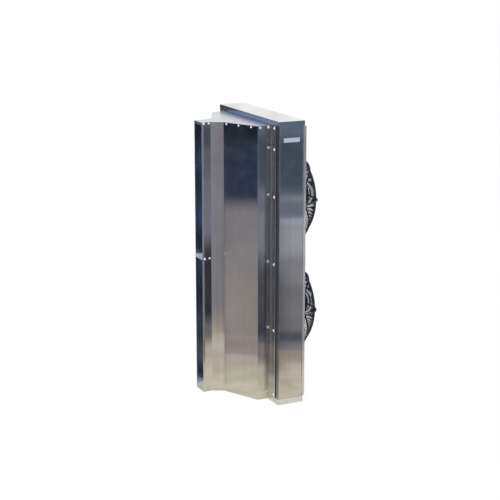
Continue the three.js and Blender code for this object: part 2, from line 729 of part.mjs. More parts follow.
/** Blank cable gland under the terminal box: threaded body, hexagon and domed nose. */
function supplyGland() {
  const top = -TERMINAL_HEIGHT / 2 - SEAT;
  const y = (TERMINAL_DEPTH - TERMINAL_LID) / 2;
  const nutBottom = top - GLAND_NUT_HEIGHT;
  const profile = [
    [0, nutBottom - GLAND_LENGTH],
    [GLAND_NOSE_RADIUS, nutBottom - GLAND_LENGTH],
    [GLAND_RADIUS, nutBottom - GLAND_LENGTH / 2],
    [GLAND_RADIUS, top - GLAND_NUT_HEIGHT / 2],
    [0, top - GLAND_NUT_HEIGHT / 2],
  ];
  const nose = turned(profile, SMALL_TURN_STEPS);
  const nut = new THREE.CylinderGeometry(
    GLAND_NUT_RADIUS,
    GLAND_NUT_RADIUS,
    GLAND_NUT_HEIGHT,
    GLAND_NUT_SIDES,
  );
  nut.translate(0, top - GLAND_NUT_HEIGHT / 2, 0);
  const geometry = join([nose, nut]).rotateX(Math.PI / 2).translate(0, y, 0);
  return piece("supply_gland", geometry, blackPlastic);
}

/** Terminal box, high on the back plate and away from the near side. */
function terminals() {
  const x = -(BOX_HALF_WIDTH - TERMINAL_EDGE_X - TERMINAL_WIDTH / 2);
  const z = panTop - TERMINAL_EDGE_Z - TERMINAL_HEIGHT / 2;
  const parts = [terminalHousing(), terminalLid(), terminalBlock(), supplyGland()];
  return assembly(parts, x, panBack, z);
}

const fanBox = assembly([lid(), baseCap(), frontPanel(), ...sidePanels(), backPlate(), stiffener()]);
const nozzle = assembly([
  ...nozzleWalls(),
  nozzleEndPlate("nozzle_top_plate", nozzleTop, -1),
  nozzleEndPlate("nozzle_bottom_plate", NOZZLE_FOOT, 1),
  ductGasket(),
  outletSpacer(),
]);
const fans = [fan("upper", upperFanHeight), fan("lower", lowerFanHeight)];
const middleDepth = (panBack + GUARD_HEIGHT - MOUTH_REACH) / 2;
const airCurtain = assembly([fanBox, nozzle, ...fans, terminals()], 0, -middleDepth, 0);

export default airCurtain;
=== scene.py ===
"""Looks of an upright air curtain: brushed stainless sheet, a folded nozzle and two fans behind black guards.

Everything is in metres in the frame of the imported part: +Z up, air leaves towards -Y, fans on the +Y side.
"""

from __future__ import annotations

import json
import logging
import math
from dataclasses import dataclass
from enum import Enum

import bmesh
import bpy
from mathutils import Matrix, Vector


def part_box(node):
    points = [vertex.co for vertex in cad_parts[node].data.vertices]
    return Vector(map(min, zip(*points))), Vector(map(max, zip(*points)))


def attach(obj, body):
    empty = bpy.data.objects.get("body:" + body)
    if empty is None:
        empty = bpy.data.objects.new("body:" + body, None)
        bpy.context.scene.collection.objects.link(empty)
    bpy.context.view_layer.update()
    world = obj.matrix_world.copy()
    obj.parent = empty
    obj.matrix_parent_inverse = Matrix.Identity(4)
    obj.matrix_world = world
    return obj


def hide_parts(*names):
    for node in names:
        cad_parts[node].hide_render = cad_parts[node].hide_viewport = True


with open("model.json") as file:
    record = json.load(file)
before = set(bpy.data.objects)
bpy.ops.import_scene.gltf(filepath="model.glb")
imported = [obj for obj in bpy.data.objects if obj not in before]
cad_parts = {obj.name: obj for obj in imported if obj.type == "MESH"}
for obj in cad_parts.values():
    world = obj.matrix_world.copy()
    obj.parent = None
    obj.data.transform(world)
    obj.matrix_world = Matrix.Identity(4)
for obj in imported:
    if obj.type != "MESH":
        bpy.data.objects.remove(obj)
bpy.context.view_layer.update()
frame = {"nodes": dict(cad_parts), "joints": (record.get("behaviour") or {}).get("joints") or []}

LOG = logging.getLogger("air_curtain")
Flat = tuple[float, float]
Point = tuple[float, float, float]
Colour = tuple[float, float, float]
Piece = bpy.types.Object
Material = bpy.types.Material
Socket = bpy.types.NodeSocket
Value = object  # a socket, a node or a plain value

CABINET = "cabinet"
MM = 0.001
SEAT = 0.3 * MM
FINE_RELIEF = 0.1 * MM
SMOOTH_ANGLE = math.radians(38)
LEAST_ROUND = 0.4 * MM
ROUND_STEPS = 96
BEND_STEPS = 5
BEVEL_STEPS = 3
ROD_SIDES = 12
WIRE_SIDES = 8
LARGE_SCREW = (7.4 * MM, 5.2 * MM)
SMALL_SCREW = (5.2 * MM, 3.4 * MM)
WHITE = (1.0, 1.0, 1.0, 1.0)


# Node graphs


class Graph:
    """Adds nodes to one tree and links them."""

    def __init__(self, tree: bpy.types.NodeTree) -> None:
        """Keeps the tree that the nodes go into."""
        self.tree = tree

    def put(self, socket: Socket, value: Value) -> None:
        """Links a socket or a node's first output to an input, or sets the input's value.

        Args:
            socket: The input.
            value: A socket, a node, or a plain value.
        """
        if isinstance(value, bpy.types.Node):
            value = value.outputs[0]
        if isinstance(value, Socket):
            self.tree.links.new(value, socket)
        else:
            socket.default_value = value

    def add(self, kind: str, values: dict | None = None, **settings: object) -> bpy.types.Node:
        """Adds one node.

        Args:
            kind: The node's type name.
            values: What each input gets, by socket name or number.
            settings: The node's own properties.

        Returns:
            The new node.
        """
        node = self.tree.nodes.new(kind)
        for key, value in settings.items():
            setattr(node, key, value)
        for key, value in (values or {}).items():
            self.put(node.inputs[key], value)
        return node

    def math(self, operation: str, *values: Value) -> Socket:
        """The result of a new math node with the given operation and inputs."""
        return self.add("ShaderNodeMath", dict(enumerate(values)), operation=operation).outputs[0]

    def remap(self, value: Value, low: float, high: float, to_low: float, to_high: float) -> Socket:
        """Maps a value from one range to another, held at both ends."""
        return self.add("ShaderNodeMapRange", {0: value, 1: low, 2: high, 3: to_low, 4: to_high}).outputs[0]

    def mix(self, factor: Value, first: Value, second: Value) -> Socket:
        """Mixes two colours, given as sockets or plain colours, by the share of the second one."""
        ends = [(*end, 1.0) if isinstance(end, tuple) else end for end in (first, second)]
        return self.add("ShaderNodeMix", {"Factor": factor, 6: ends[0], 7: ends[1]}, data_type="RGBA").outputs[2]


class Surface(Graph):
    """A material with one principled shader."""

    def __init__(self, name: str, shader: dict[str, float]) -> None:
        """Makes the material.

        Args:
            name: The material's name.
            shader: Values for the shader's own sockets.
        """
        self.material = bpy.data.materials.new(name)
        self.material.use_nodes = True
        super().__init__(self.material.node_tree)
        self.shader = self.tree.nodes["Principled BSDF"]
        for key, value in shader.items():
            self.give(key, value)
        self.place = self.add("ShaderNodeTexCoord").outputs["Object"]

    def give(self, key: str, value: Value) -> None:
        """Links or sets one of the shader's inputs."""
        self.put(self.shader.inputs[key], value)

    def facing(self) -> Socket:
        """The surface's normal."""
        return self.add("ShaderNodeNewGeometry").outputs["Normal"]

    def noise(self, scale: float | Point, detail: float = 2.0, roughness: float = 0.5) -> Socket:
        """Adds noise.

        Args:
            scale: Features per metre, or the same along each axis.
            detail: Octaves of the noise.
            roughness: How strong the finer octaves are.

        Returns:
            The noise, around 0.5.
        """
        scales = scale if isinstance(scale, tuple) else (scale, scale, scale)
        stretched = self.add("ShaderNodeMapping", {"Vector": self.place, "Scale": scales})
        inputs = {"Vector": stretched, "Scale": 1.0, "Detail": detail, "Roughness": roughness}
        return self.add("ShaderNodeTexNoise", inputs).outputs["Fac"]

    def widened(self, noise: Value, half: float) -> Socket:
        """Stretches the values within a half width of 0.5 to the range from 0 to 1."""
        return self.remap(noise, 0.5 - half, 0.5 + half, 0.0, 1.0)

    def weighed(self, first: Value, second: Value, share: float) -> Socket:
        """Adds two values up, with a share for the first and the rest for the second."""
        return self.math("ADD", self.math("MULTIPLY", first, share), self.math("MULTIPLY", second, 1 - share))

    def colour(self, factor: Value, first: Value, second: Value) -> None:
        """Colours the surface between two colours, by the share of the second one."""
        self.give("Base Color", self.mix(factor, first, second))

    def roughen(self, factor: Value, smooth: float, rough: float) -> None:
        """Varies the roughness between two values, by a factor around 0.5."""
        self.give("Roughness", self.remap(factor, 0.25, 0.75, smooth, rough))

    def bump(self, height: Value, strength: float, distance: float = FINE_RELIEF) -> None:
        """Gives the surface fine relief, by its height, its share that shows and its depth in metres."""
        self.give("Normal", self.add("ShaderNodeBump", {"Height": height, "Strength": strength, "Distance": distance}))


# Finishes


class Grain(Enum):
    """The way that a sheet is brushed, as the number of an axis."""

    UP = 2
    ACROSS = 0

    def scale(self, across: float, along: float) -> Point:
        """Features per metre along x, y and z, from those across the grain and along it."""
        return tuple(along if axis == self.value else across for axis in range(3))

    def line(self) -> Point:
        """Unit vector along the grain."""
        return self.scale(0.0, 1.0)


@dataclass(frozen=True)
class BrushedSteel:
    """Stainless sheet, brushed one way, with streaks, handling marks and faint smears."""

    name: str
    grain: Grain
    tint: Colour = (0.78, 0.775, 0.765)
    smooth: float = 0.11
    rough: float = 0.165
    spread: float = 0.93
    relief: float = 0.12
    metallic: float = 1.0
    smeared: float = 0.028
    dulled: float = 0.9
    hairlines: Flat = (1400, 9)
    streaks: Flat = (45, 0.5)
    marks: Point = (6, 6, 4)
    smears: Point = (16, 16, 20)
    streak_share: float = 0.6
    hairline_share: float = 0.35
    slant: Point = (0.002, 0.001, 0.0005)
    slot: str = "brushed_stainless"

    def build(self) -> Material:
        """Makes the material. The slant keeps the tangent from vanishing on faces across the grain."""
        surface = Surface(self.name, {"Anisotropic": self.spread})
        smears = surface.noise(self.smears, detail=7, roughness=0.68)
        surface.give("Metallic", surface.remap(smears, 0.46, 0.72, self.metallic, self.metallic - self.smeared))
        way = {0: self.grain.line(), 1: surface.facing()}
        across = surface.add("ShaderNodeVectorMath", way, operation="CROSS_PRODUCT")
        surface.give("Tangent", surface.add("ShaderNodeVectorMath", {0: across, 1: self.slant}, operation="ADD"))
        fine = surface.noise(self.grain.scale(*self.hairlines), detail=3)
        streaks = surface.noise(self.grain.scale(*self.streaks), detail=6, roughness=0.72)
        marks = surface.noise(self.marks, detail=5, roughness=0.62)
        worn = surface.weighed(streaks, marks, self.streak_share)
        dull = tuple(channel * self.dulled for channel in self.tint)
        surface.colour(surface.widened(worn, 0.14), self.tint, dull)
        surface.roughen(surface.weighed(fine, worn, self.hairline_share), self.smooth, self.rough)
        surface.bump(fine, self.relief)
        return surface.material


@dataclass(frozen=True)
class ZincSteel:
    """Zinc-coated sheet with a faint spangle."""

    name: str = "zinc_coated_steel"
    slot: str = "zinc_steel"
    low: Colour = (0.58, 0.60, 0.61)
    high: Colour = (0.70, 0.72, 0.73)
    smooth: float = 0.34
    rough: float = 0.48
    spangle: float = 90.0
    tooth: float = 800.0

    def build(self) -> Material:
        """Makes the material."""
        surface = Surface(self.name, {"Metallic": 1.0})
        cells = surface.add("ShaderNodeTexVoronoi", {"Vector": surface.place, "Scale": self.spangle})
        spangle = surface.add("ShaderNodeSeparateColor", {0: cells.outputs["Color"]}).outputs[0]
        surface.colour(spangle, self.low, self.high)
        surface.roughen(spangle, self.smooth, self.rough)
        surface.bump(surface.noise(self.tooth), 0.1)
        return surface.material


@dataclass(frozen=True)
class PowderCoat:
    """Black powder coat with orange peel, and dust on what faces up."""

    name: str = "black_powder_coat"
    slot: str = "black_paint"
    dark: Colour = (0.010, 0.015, 0.027)
    faded: Colour = (0.019, 0.027, 0.045)
    dust: Colour = (0.060, 0.066, 0.078)
    dust_share: float = 0.6
    smooth: float = 0.24
    rough: float = 0.40
    fading: float = 14.0
    peel: float = 700.0

    def build(self) -> Material:
        """Makes the material."""
        surface = Surface(self.name, {"Specular IOR Level": 0.5})
        fading = surface.noise(self.fading, detail=4)
        upward = surface.add("ShaderNodeSeparateXYZ", {0: surface.facing()}).outputs["Z"]
        level = surface.remap(upward, 0.5, 1.0, 0.0, self.dust_share)
        settled = surface.math("MULTIPLY", level, surface.remap(fading, 0.4, 0.65, 0.2, 1.0))
        paint = surface.mix(surface.widened(fading, 0.15), self.dark, self.faded)
        surface.colour(settled, paint, self.dust)
        surface.roughen(fading, self.smooth, self.rough)
        surface.bump(surface.noise(self.peel, detail=1), 0.12, 2 * FINE_RELIEF)
        return surface.material


@dataclass(frozen=True)
class GrainedMetal:
    """Metal with a cast or ground grain: castings, blades, bearings, screws and the blank plate."""

    name: str
    slot: str
    low: Colour
    high: Colour
    smooth: float
    rough: float
    scale: float = 300.0
    relief: float = 0.2
    metallic: float = 1.0
    patches: float = 20.0

    def build(self) -> Material:
        """Makes the material."""
        surface = Surface(self.name, {"Metallic": self.metallic})
        patches = surface.noise(self.patches, detail=3)
        surface.colour(surface.widened(patches, 0.15), self.low, self.high)
        surface.roughen(patches, self.smooth, self.rough)
        surface.bump(surface.noise(self.scale, detail=3, roughness=0.6), self.relief, 2 * FINE_RELIEF)
        return surface.material


@dataclass(frozen=True)
class MouldedPlastic:
    """Moulded plastic with a fine spark-eroded texture."""

    name: str
    slot: str
    low: Colour
    high: Colour
    smooth: float = 0.38
    rough: float = 0.5
    clouds: float = 25.0
    sparks: float = 1500.0

    def build(self) -> Material:
        """Makes the material."""
        surface = Surface(self.name, {"Specular IOR Level": 0.45})
        clouds = surface.noise(self.clouds, detail=3)
        surface.colour(surface.widened(clouds, 0.15), self.low, self.high)
        surface.roughen(clouds, self.smooth, self.rough)
        surface.bump(surface.noise(self.sparks, detail=1), 0.15)
        return surface.material


@dataclass(frozen=True)
class CellFoam:
    """Closed-cell sealing foam."""

    name: str = "closed_cell_foam"
    slot: str = "seal_foam"
    low: Colour = (0.020, 0.021, 0.022)
    high: Colour = (0.045, 0.046, 0.048)
    cells: float = 900.0

    def build(self) -> Material:
        """Makes the material."""
        surface = Surface(self.name, {"Roughness": 0.9})
        cells = surface.add("ShaderNodeTexVoronoi", {"Vector": surface.place, "Scale": self.cells}).outputs["Distance"]
        surface.colour(cells, self.low, self.high)
        surface.bump(cells, 0.5, 4 * FINE_RELIEF)
        return surface.material


class Palette:
    """Every finish of the object, each made once."""

    def __init__(self) -> None:
        """Makes all the materials."""
        steel, metal, plastic = BrushedSteel, GrainedMetal, MouldedPlastic
        sheet = "brushed_stainless"
        self.finishes = {
            "upright": steel("stainless_brushed_upright", Grain.UP),
            "crosswise": steel("stainless_brushed_crosswise", Grain.ACROSS, (0.86, 0.86, 0.855), 0.10, 0.15, 0.5),
            # Darker, bluer copy of the wall steel for the faces inside the slot: painted shade with a painted blue cast
            "inside": steel("stainless_mill_finish_inside", Grain.UP, (0.53, 0.62, 0.76), 0.2, 0.3, 0.5),
            # Darker steel for the front panel: painted shade for the gap beside the nozzle flange
            "painted_shade": steel("stainless_dull_rolled", Grain.UP, (0.36, 0.40, 0.43), 0.2, 0.3, 0.6),
            "pan": steel("stainless_satin_pan", Grain.UP, metallic=0.72),
            "satin": steel("stainless_satin_base", Grain.ACROSS, (0.84, 0.835, 0.825), 0.16, 0.24, 0.5, metallic=0.62),
            # Bluer, darker tint on the nozzle top plate: painted reflection of blue sky; its haze, the higher
            # roughness, is real
            "hazed_painted_reflection": steel("stainless_hazed_top", Grain.ACROSS, (0.74, 0.775, 0.83), 0.2, 0.3, 0.5),
            "guide": metal("dull_zinc_guide", sheet, (0.66, 0.70, 0.76), (0.74, 0.78, 0.82),
                           0.4, 0.5, 900.0, 0.08, 0.2),
            "zinc": ZincSteel(),
            "black": PowderCoat(),
            "rotor": PowderCoat("satin_rotor_paint", "rotor_paint", smooth=0.35, rough=0.5),
            "stator": metal("sand_cast_stator", "cast_stator", (0.20, 0.21, 0.22), (0.30, 0.31, 0.32), 0.5, 0.65),
            "blade": metal("dark_coated_blade", "dark_aluminium", (0.030, 0.032, 0.036), (0.06, 0.063, 0.068),
                           0.34, 0.46, 160.0, 0.1, 0.6),
            "ground": metal("ground_bearing_steel", "bearing_steel", (0.5, 0.51, 0.52), (0.6, 0.61, 0.62),
                            0.2, 0.3, 900.0, 0.1),
            # Zinc-plated screws, made near-white and barely metallic as a painted highlight for the glints on their
            # domed heads
            "screw": metal("bright_zinc_screw", sheet, (0.93, 0.94, 0.96), (0.97, 0.975, 0.98),
                           0.16, 0.26, 900.0, 0.05, 0.12),
            "plate": metal("pale_anodised_plate", sheet, (0.50, 0.54, 0.72), (0.56, 0.60, 0.77),
                           0.4, 0.5, 1200.0, 0.08, 0.15),
            "grey": plastic("light_grey_plastic", "grey_plastic", (0.34, 0.36, 0.38), (0.39, 0.41, 0.43)),
            "nylon": plastic("black_nylon", "black_plastic", (0.014, 0.014, 0.016), (0.022, 0.022, 0.024)),
            "foam": CellFoam(),
        }
        self.materials = {name: finish.build() for name, finish in self.finishes.items()}

    def dress(self, piece: Piece, finish: str) -> None:
        """Gives a piece one finish.

        Args:
            piece: The piece.
            finish: The finish's name in the palette.
        """
        piece.data.materials.clear()
        piece.data.materials.append(self.materials[finish])

    def dress_nodes(self, finishes: dict[str, str]) -> None:
        """Gives nodes of the frame their finishes, with their meshes as they are.

        Args:
            finishes: The finish's name in the palette, by the node's name.
        """
        for node, finish in finishes.items():
            for slot in frame["nodes"][node].material_slots:
                slot.material = self.materials[finish]


# Meshes


def new_piece(name: str, points: list, faces: list, edges: list | None = None) -> Piece:
    """Makes an object at the origin from points and faces.

    Args:
        name: The piece's name.
        points: Its points in metres.
        faces: Its faces, as numbers of points.
        edges: Its loose edges.

    Returns:
        The new object.
    """
    mesh = bpy.data.meshes.new(name)
    mesh.from_pydata([tuple(p) for p in points], edges or [], faces)
    mesh.update()
    piece = bpy.data.objects.new(name, mesh)
    bpy.context.scene.collection.objects.link(piece)
    return piece


def new_line(name: str, points: list) -> Piece:
    """An open line through points, as a piece without faces."""
    return new_piece(name, points, [], [(i, i + 1) for i in range(len(points) - 1)])


def baked(piece: Piece) -> Piece:
    """Turns a piece with modifiers into a plain mesh.

    Args:
        piece: The piece with its live modifiers.

    Returns:
        The same object with the finished mesh.
    """
    graph = bpy.context.evaluated_depsgraph_get()
    graph.update()
    mesh = bpy.data.meshes.new_from_object(piece.evaluated_get(graph), preserve_all_data_layers=True, depsgraph=graph)
    piece.modifiers.clear()
    piece.data = mesh
    mesh.name = piece.name
    return piece


def modified(piece: Piece, kind: str, **settings: object) -> Piece:
    """Adds a modifier.

    Args:
        piece: The piece.
        kind: The modifier's type.
        settings: The modifier's properties.

    Returns:
        The same piece.
    """
    modifier = piece.modifiers.new(kind.lower(), kind)
    for key, value in settings.items():
        setattr(modifier, key, value)
    return piece


def outward(piece: Piece) -> Piece:
    """Turns the faces of a closed piece outwards.

    Args:
        piece: The closed piece.

    Returns:
        The same piece.
    """
    shape = bmesh.new()
    shape.from_mesh(piece.data)
    bmesh.ops.recalc_face_normals(shape, faces=shape.faces)
    # A folded sheet can come out of that inside out
    if shape.calc_volume(signed=True) < 0:
        bmesh.ops.reverse_faces(shape, faces=shape.faces)
    shape.to_mesh(piece.data)
    shape.free()
    return piece


def shade(piece: Piece) -> Piece:
    """Shades a plain mesh smooth between its sharp edges.

    Args:
        piece: The piece.

    Returns:
        The same piece.
    """
    piece.data.shade_smooth()
    piece.data.set_sharp_from_angle(angle=SMOOTH_ANGLE)
    return piece


def crisp(piece: Piece) -> Piece:
    """Shades a plain sheet so that its flat runs stay flat right up to their folds."""
    return baked(modified(shade(piece), "WEIGHTED_NORMAL", keep_sharp=True))


def circle(centre: Flat, radius: float, steps: int, first: float = 0.0) -> list[Flat]:
    """Points spaced evenly round a circle, with the first one at the given number of steps."""
    turns = [2 * math.pi * (i + first) / steps for i in range(steps)]
    return [(centre[0] + radius * math.cos(turn), centre[1] + radius * math.sin(turn)) for turn in turns]


def rounded_corner(centre: Flat, radius: float, start: float, steps: int = 6) -> list[Flat]:
    """A quarter turn round a centre, starting at the given number of quarter turns."""
    turns = [(start + i / steps) * math.pi / 2 for i in range(steps + 1)]
    return [(centre[0] + radius * math.cos(turn), centre[1] + radius * math.sin(turn)) for turn in turns]


def turned(name: str, profile: list[Flat], centre: Point, steps: int = ROUND_STEPS) -> Piece:
    """Turns a profile about an axis along +Y.

    Args:
        name: The piece's name.
        profile: [radius, depth] points. It closes on itself unless it starts and ends on the axis.
        centre: Where the axis crosses depth zero.
        steps: Faces round the axis.

    Returns:
        The turned piece.
    """
    points, rings = [], []
    for radius, depth in profile:
        count = 1 if radius < 1e-6 else steps
        rings.append((len(points), count))
        ring = circle((centre[0], centre[2]), radius, steps)[:count]
        points += [(x, centre[1] + depth, z) for x, z in ring]
    on_axis = rings[0][1] == 1 and rings[-1][1] == 1
    pairs = list(zip(rings, rings[1:])) + ([] if on_axis else [(rings[-1], rings[0])])
    faces = []
    for (a, a_count), (b, b_count) in pairs:
        for i in range(steps):
            j = (i + 1) % steps
            corners = [a + i % a_count, a + j % a_count, b + j % b_count, b + i % b_count]
            unique = list(dict.fromkeys(corners))
            if len(unique) > 2:
                faces.append(unique)
    return outward(new_piece(name, points, faces))


def softened_box(name: str, low: Vector, high: Vector, edge: float) -> Piece:
    """A block between two corners with rounded edges.

    Args:
        name: The piece's name.
        low: Its lowest corner.
        high: Its highest corner.
        edge: Radius of its edges.

    Returns:
        The block, with its bevel still live.
    """
    xs, ys, zs = zip(low, high)
    points = [(x, y, z) for x in xs for y in ys for z in zs]
    faces = [(0, 1, 3, 2), (4, 6, 7, 5), (0, 4, 5, 1), (2, 3, 7, 6), (0, 2, 6, 4), (1, 5, 7, 3)]
    return modified(outward(new_piece(name, points, faces)), "BEVEL", width=edge, segments=BEVEL_STEPS)


def rounded_plan(low: Vector, high: Vector, inset: float, corner: float) -> list[Flat]:
    """Outline of a rectangle with rounded corners, drawn in by an inset.

    Args:
        low: Lowest corner of the block that the outline belongs to.
        high: Its highest corner.
        inset: How far the outline is drawn in.
        corner: Radius of the corners before that.

    Returns:
        The [x, z] points of the outline.
    """
    radius = max(corner - inset, LEAST_ROUND)
    reach = inset + radius
    centres = ((high.x - reach, high.z - reach), (low.x + reach, high.z - reach),
               (low.x + reach, low.z + reach), (high.x - reach, low.z + reach))
    return [point for quarter, centre in enumerate(centres) for point in rounded_corner(centre, radius, quarter)]


def lofted(name: str, low: Vector, high: Vector, corner: float, profile: list[Flat],
           holes: tuple[tuple[Flat, float], ...] = (), closed: bool = True) -> Piece:
    """Stacks rounded outlines along Y into a block, or into a pan that is open at its first outline.

    Args:
        name: The piece's name.
        low: Lowest corner of the block.
        high: Its highest corner.
        corner: Radius of its corners, seen along Y.
        profile: Inset and depth of each outline.
        holes: Middle and radius of each round hole in the last face.
        closed: Whether the first outline has a face.

    Returns:
        The plain mesh.
    """
    shape = bmesh.new()
    rings = []
    for inset, depth in profile:
        rings.append([shape.verts.new((x, depth, z)) for x, z in rounded_plan(low, high, inset, corner)])
    for first, second in zip(rings, rings[1:]):
        for i in range(len(first)):
            shape.faces.new((first[i - 1], first[i], second[i], second[i - 1]))
    if closed:
        shape.faces.new(rings[0])
    last = rings[-1]
    edges = [shape.edges.get((last[i - 1], last[i])) for i in range(len(last))]
    for centre, radius in holes:
        loop = [shape.verts.new((x, profile[-1][1], z)) for x, z in circle(centre, radius, ROUND_STEPS)]
        edges += [shape.edges.new((loop[i - 1], loop[i])) for i in range(len(loop))]
    if holes:
        bmesh.ops.triangle_fill(shape, use_beauty=True, edges=edges)
    else:
        shape.faces.new(last)
    bmesh.ops.recalc_face_normals(shape, faces=shape.faces)
    piece = new_piece(name, [], [])
    shape.to_mesh(piece.data)
    shape.free()
    return piece


def sheet_tray(name: str, low: Vector, high: Vector, rises: bool, sheet: float, bend: float) -> Piece:
    """A plate with a rim folded to one side all round.

    Args:
        name: The piece's name.
        low: Its lowest corner.
        high: Its highest corner.
        rises: Whether the rim rises from the plate or hangs from it.
        sheet: Thickness of the sheet.
        bend: Radius of the folds.

    Returns:
        The tray, with its modifiers still live.
    """
    face, rim = (low.z, high.z) if rises else (high.z, low.z)
    corners = [(low.x, low.y), (high.x, low.y), (high.x, high.y), (low.x, high.y)]
    points = [(x, y, z) for z in (face, rim) for x, y in corners]
    faces = [(0, 1, 2, 3)] + [(i, i + 4, (i + 1) % 4 + 4, (i + 1) % 4) for i in range(4)]
    if rises:
        faces = [tuple(reversed(f)) for f in faces]
    piece = new_piece(name, points, faces)
    modified(piece, "BEVEL", width=bend, segments=BEVEL_STEPS, limit_method="ANGLE")
    return modified(piece, "SOLIDIFY", thickness=sheet, offset=-1.0, use_even_offset=True)


# Geometry Nodes trees


class ShapeTree(Graph):
    """A Geometry Nodes tree with named inputs that works on one mesh."""

    def __init__(self, name: str, inputs: dict[str, str]) -> None:
        """Makes the tree's sockets.

        Args:
            name: The tree's name.
            inputs: Kind of each input by its name, besides the mesh and the material.
        """
        super().__init__(bpy.data.node_groups.new(name, "GeometryNodeTree"))
        face = self.tree.interface
        face.new_socket("Geometry", in_out="OUTPUT", socket_type="NodeSocketGeometry")
        kinds = {"Geometry": "Geometry", **inputs, "Material": "Material"}
        self.sockets = {
            key: face.new_socket(key, in_out="INPUT", socket_type=f"NodeSocket{kind}") for key, kind in kinds.items()
        }
        self.source = self.tree.nodes.new("NodeGroupInput")

    def given(self, name: str) -> Socket:
        """The value of a named input."""
        return self.source.outputs[name]

    def end(self, geometry: Value) -> None:
        """Makes the result plain and gives it its material.

        Args:
            geometry: The last geometry of the tree.
        """
        plain = self.add("GeometryNodeRealizeInstances", {0: geometry})
        dressed = self.add("GeometryNodeSetMaterial", {"Geometry": plain, "Material": self.given("Material")})
        self.put(self.tree.nodes.new("NodeGroupOutput").inputs[0], dressed)

    def grow(self, piece: Piece, **values: object) -> Piece:
        """Puts the tree on a piece as a modifier.

        Args:
            piece: The piece whose mesh the tree reads.
            values: The inputs, with spaces written as underscores.

        Returns:
            The same piece.
        """
        modifier = piece.modifiers.new(self.tree.name, "NODES")
        modifier.node_group = self.tree
        for key, value in values.items():
            modifier[self.sockets[key.replace("_", " ")].identifier] = value
        return piece


class FoldedSheetTree(ShapeTree):
    """Bends a line of flat runs into a folded sheet and draws it out to its length."""

    def __init__(self) -> None:
        """Builds the tree."""
        super().__init__("folded_sheet", {"Bend Radius": "Float", "Bend Steps": "Int", "Run": "Vector"})
        line = self.add("GeometryNodeMeshToCurve", {0: self.given("Geometry")})
        fold = {"Curve": line, "Count": self.given("Bend Steps"), "Radius": self.given("Bend Radius"),
                "Limit Radius": True}
        edge = self.add("GeometryNodeCurveToMesh", {0: self.add("GeometryNodeFilletCurve", fold, mode="POLY")})
        drawn = {"Mesh": edge, "Offset": self.given("Run"), "Offset Scale": 1.0}
        self.end(self.add("GeometryNodeExtrudeMesh", drawn, mode="EDGES"))


class TurnedCopiesTree(ShapeTree):
    """Repeats a shape round an axis along Y: blades, struts and foot tabs."""

    def __init__(self) -> None:
        """Builds the tree."""
        super().__init__("turned_copies", {"Copies": "Int", "First Angle": "Float", "Centre": "Vector"})
        spots = self.add("GeometryNodePoints", {"Count": self.given("Copies"), "Position": (0.0, 0.0, 0.0)})
        step = self.math("DIVIDE", 2 * math.pi, self.given("Copies"))
        turn = self.math("MULTIPLY_ADD", self.add("GeometryNodeInputIndex"), step, self.given("First Angle"))
        angles = self.add("ShaderNodeCombineXYZ", {"Y": turn})
        shape = self.add("GeometryNodeGeometryToInstance", {0: self.given("Geometry")})
        copies = self.add("GeometryNodeInstanceOnPoints", {"Points": spots, "Instance": shape, "Rotation": angles})
        self.end(self.add("GeometryNodeTransform", {"Geometry": copies, "Translation": self.given("Centre")}))


class RodTree(ShapeTree):
    """Gives a bent line the round section of a rod."""

    def __init__(self) -> None:
        """Builds the tree."""
        super().__init__("bent_rod", {"Rod Radius": "Float", "Sides": "Int"})
        line = self.add("GeometryNodeMeshToCurve", {0: self.given("Geometry")})
        round_rod = {"Resolution": self.given("Sides"), "Radius": self.given("Rod Radius")}
        section = self.add("GeometryNodeCurvePrimitiveCircle", round_rod)
        self.end(self.add("GeometryNodeCurveToMesh", {0: line, 1: section, "Fill Caps": True}))


class GuardWireTree(ShapeTree):
    """Winds the rings of a domed guard: a quarter of an ellipse from foot to crown, then flat rings to the hub."""

    def __init__(self) -> None:
        """Builds the tree."""
        kinds = {"Dome Rings": "Int", "Flat Rings": "Int", "Foot Radius": "Float", "Crown Radius": "Float",
                 "Hub Radius": "Float", "Base Depth": "Float", "Rise": "Float", "Wire Radius": "Float",
                 "Wire Sides": "Int", "Ring Steps": "Int", "Centre": "Vector"}
        super().__init__("guard_wires", kinds)
        given, circle_node = self.given, "GeometryNodeCurvePrimitiveCircle"
        number = self.add("GeometryNodeInputIndex")
        share = self.math("DIVIDE", number, self.math("SUBTRACT", given("Dome Rings"), 1.0))
        turn = self.math("MULTIPLY", self.math("MINIMUM", share, 1.0), math.pi / 2)
        reach = self.math("SUBTRACT", given("Foot Radius"), given("Crown Radius"))
        dome = self.math("MULTIPLY_ADD", self.math("COSINE", turn), reach, given("Crown Radius"))
        depth = self.math("MULTIPLY_ADD", self.math("SINE", turn), given("Rise"), given("Base Depth"))
        past = self.math("MAXIMUM", self.math("ADD", self.math("SUBTRACT", number, given("Dome Rings")), 1.0), 0.0)
        flat = self.math("SUBTRACT", given("Crown Radius"), given("Hub Radius"))
        inward = self.math("DIVIDE", flat, given("Flat Rings"))
        radius = self.math("SUBTRACT", dome, self.math("MULTIPLY", past, inward))
        total = self.math("ADD", given("Dome Rings"), given("Flat Rings"))
        place = self.add("ShaderNodeCombineXYZ", {"Y": depth})
        spots = self.add("GeometryNodePoints", {"Count": total, "Position": place})
        ring = self.add(circle_node, {"Resolution": given("Ring Steps"), "Radius": 1.0})
        upright = self.add("ShaderNodeCombineXYZ", {"X": math.pi / 2})
        copies = {"Points": spots, "Instance": ring, "Rotation": upright, "Scale": radius}
        curves = self.add("GeometryNodeRealizeInstances", {0: self.add("GeometryNodeInstanceOnPoints", copies)})
        section = self.add(circle_node, {"Resolution": given("Wire Sides"), "Radius": given("Wire Radius")})
        wires = self.add("GeometryNodeCurveToMesh", {0: curves, 1: section})
        self.end(self.add("GeometryNodeTransform", {"Geometry": wires, "Translation": given("Centre")}))


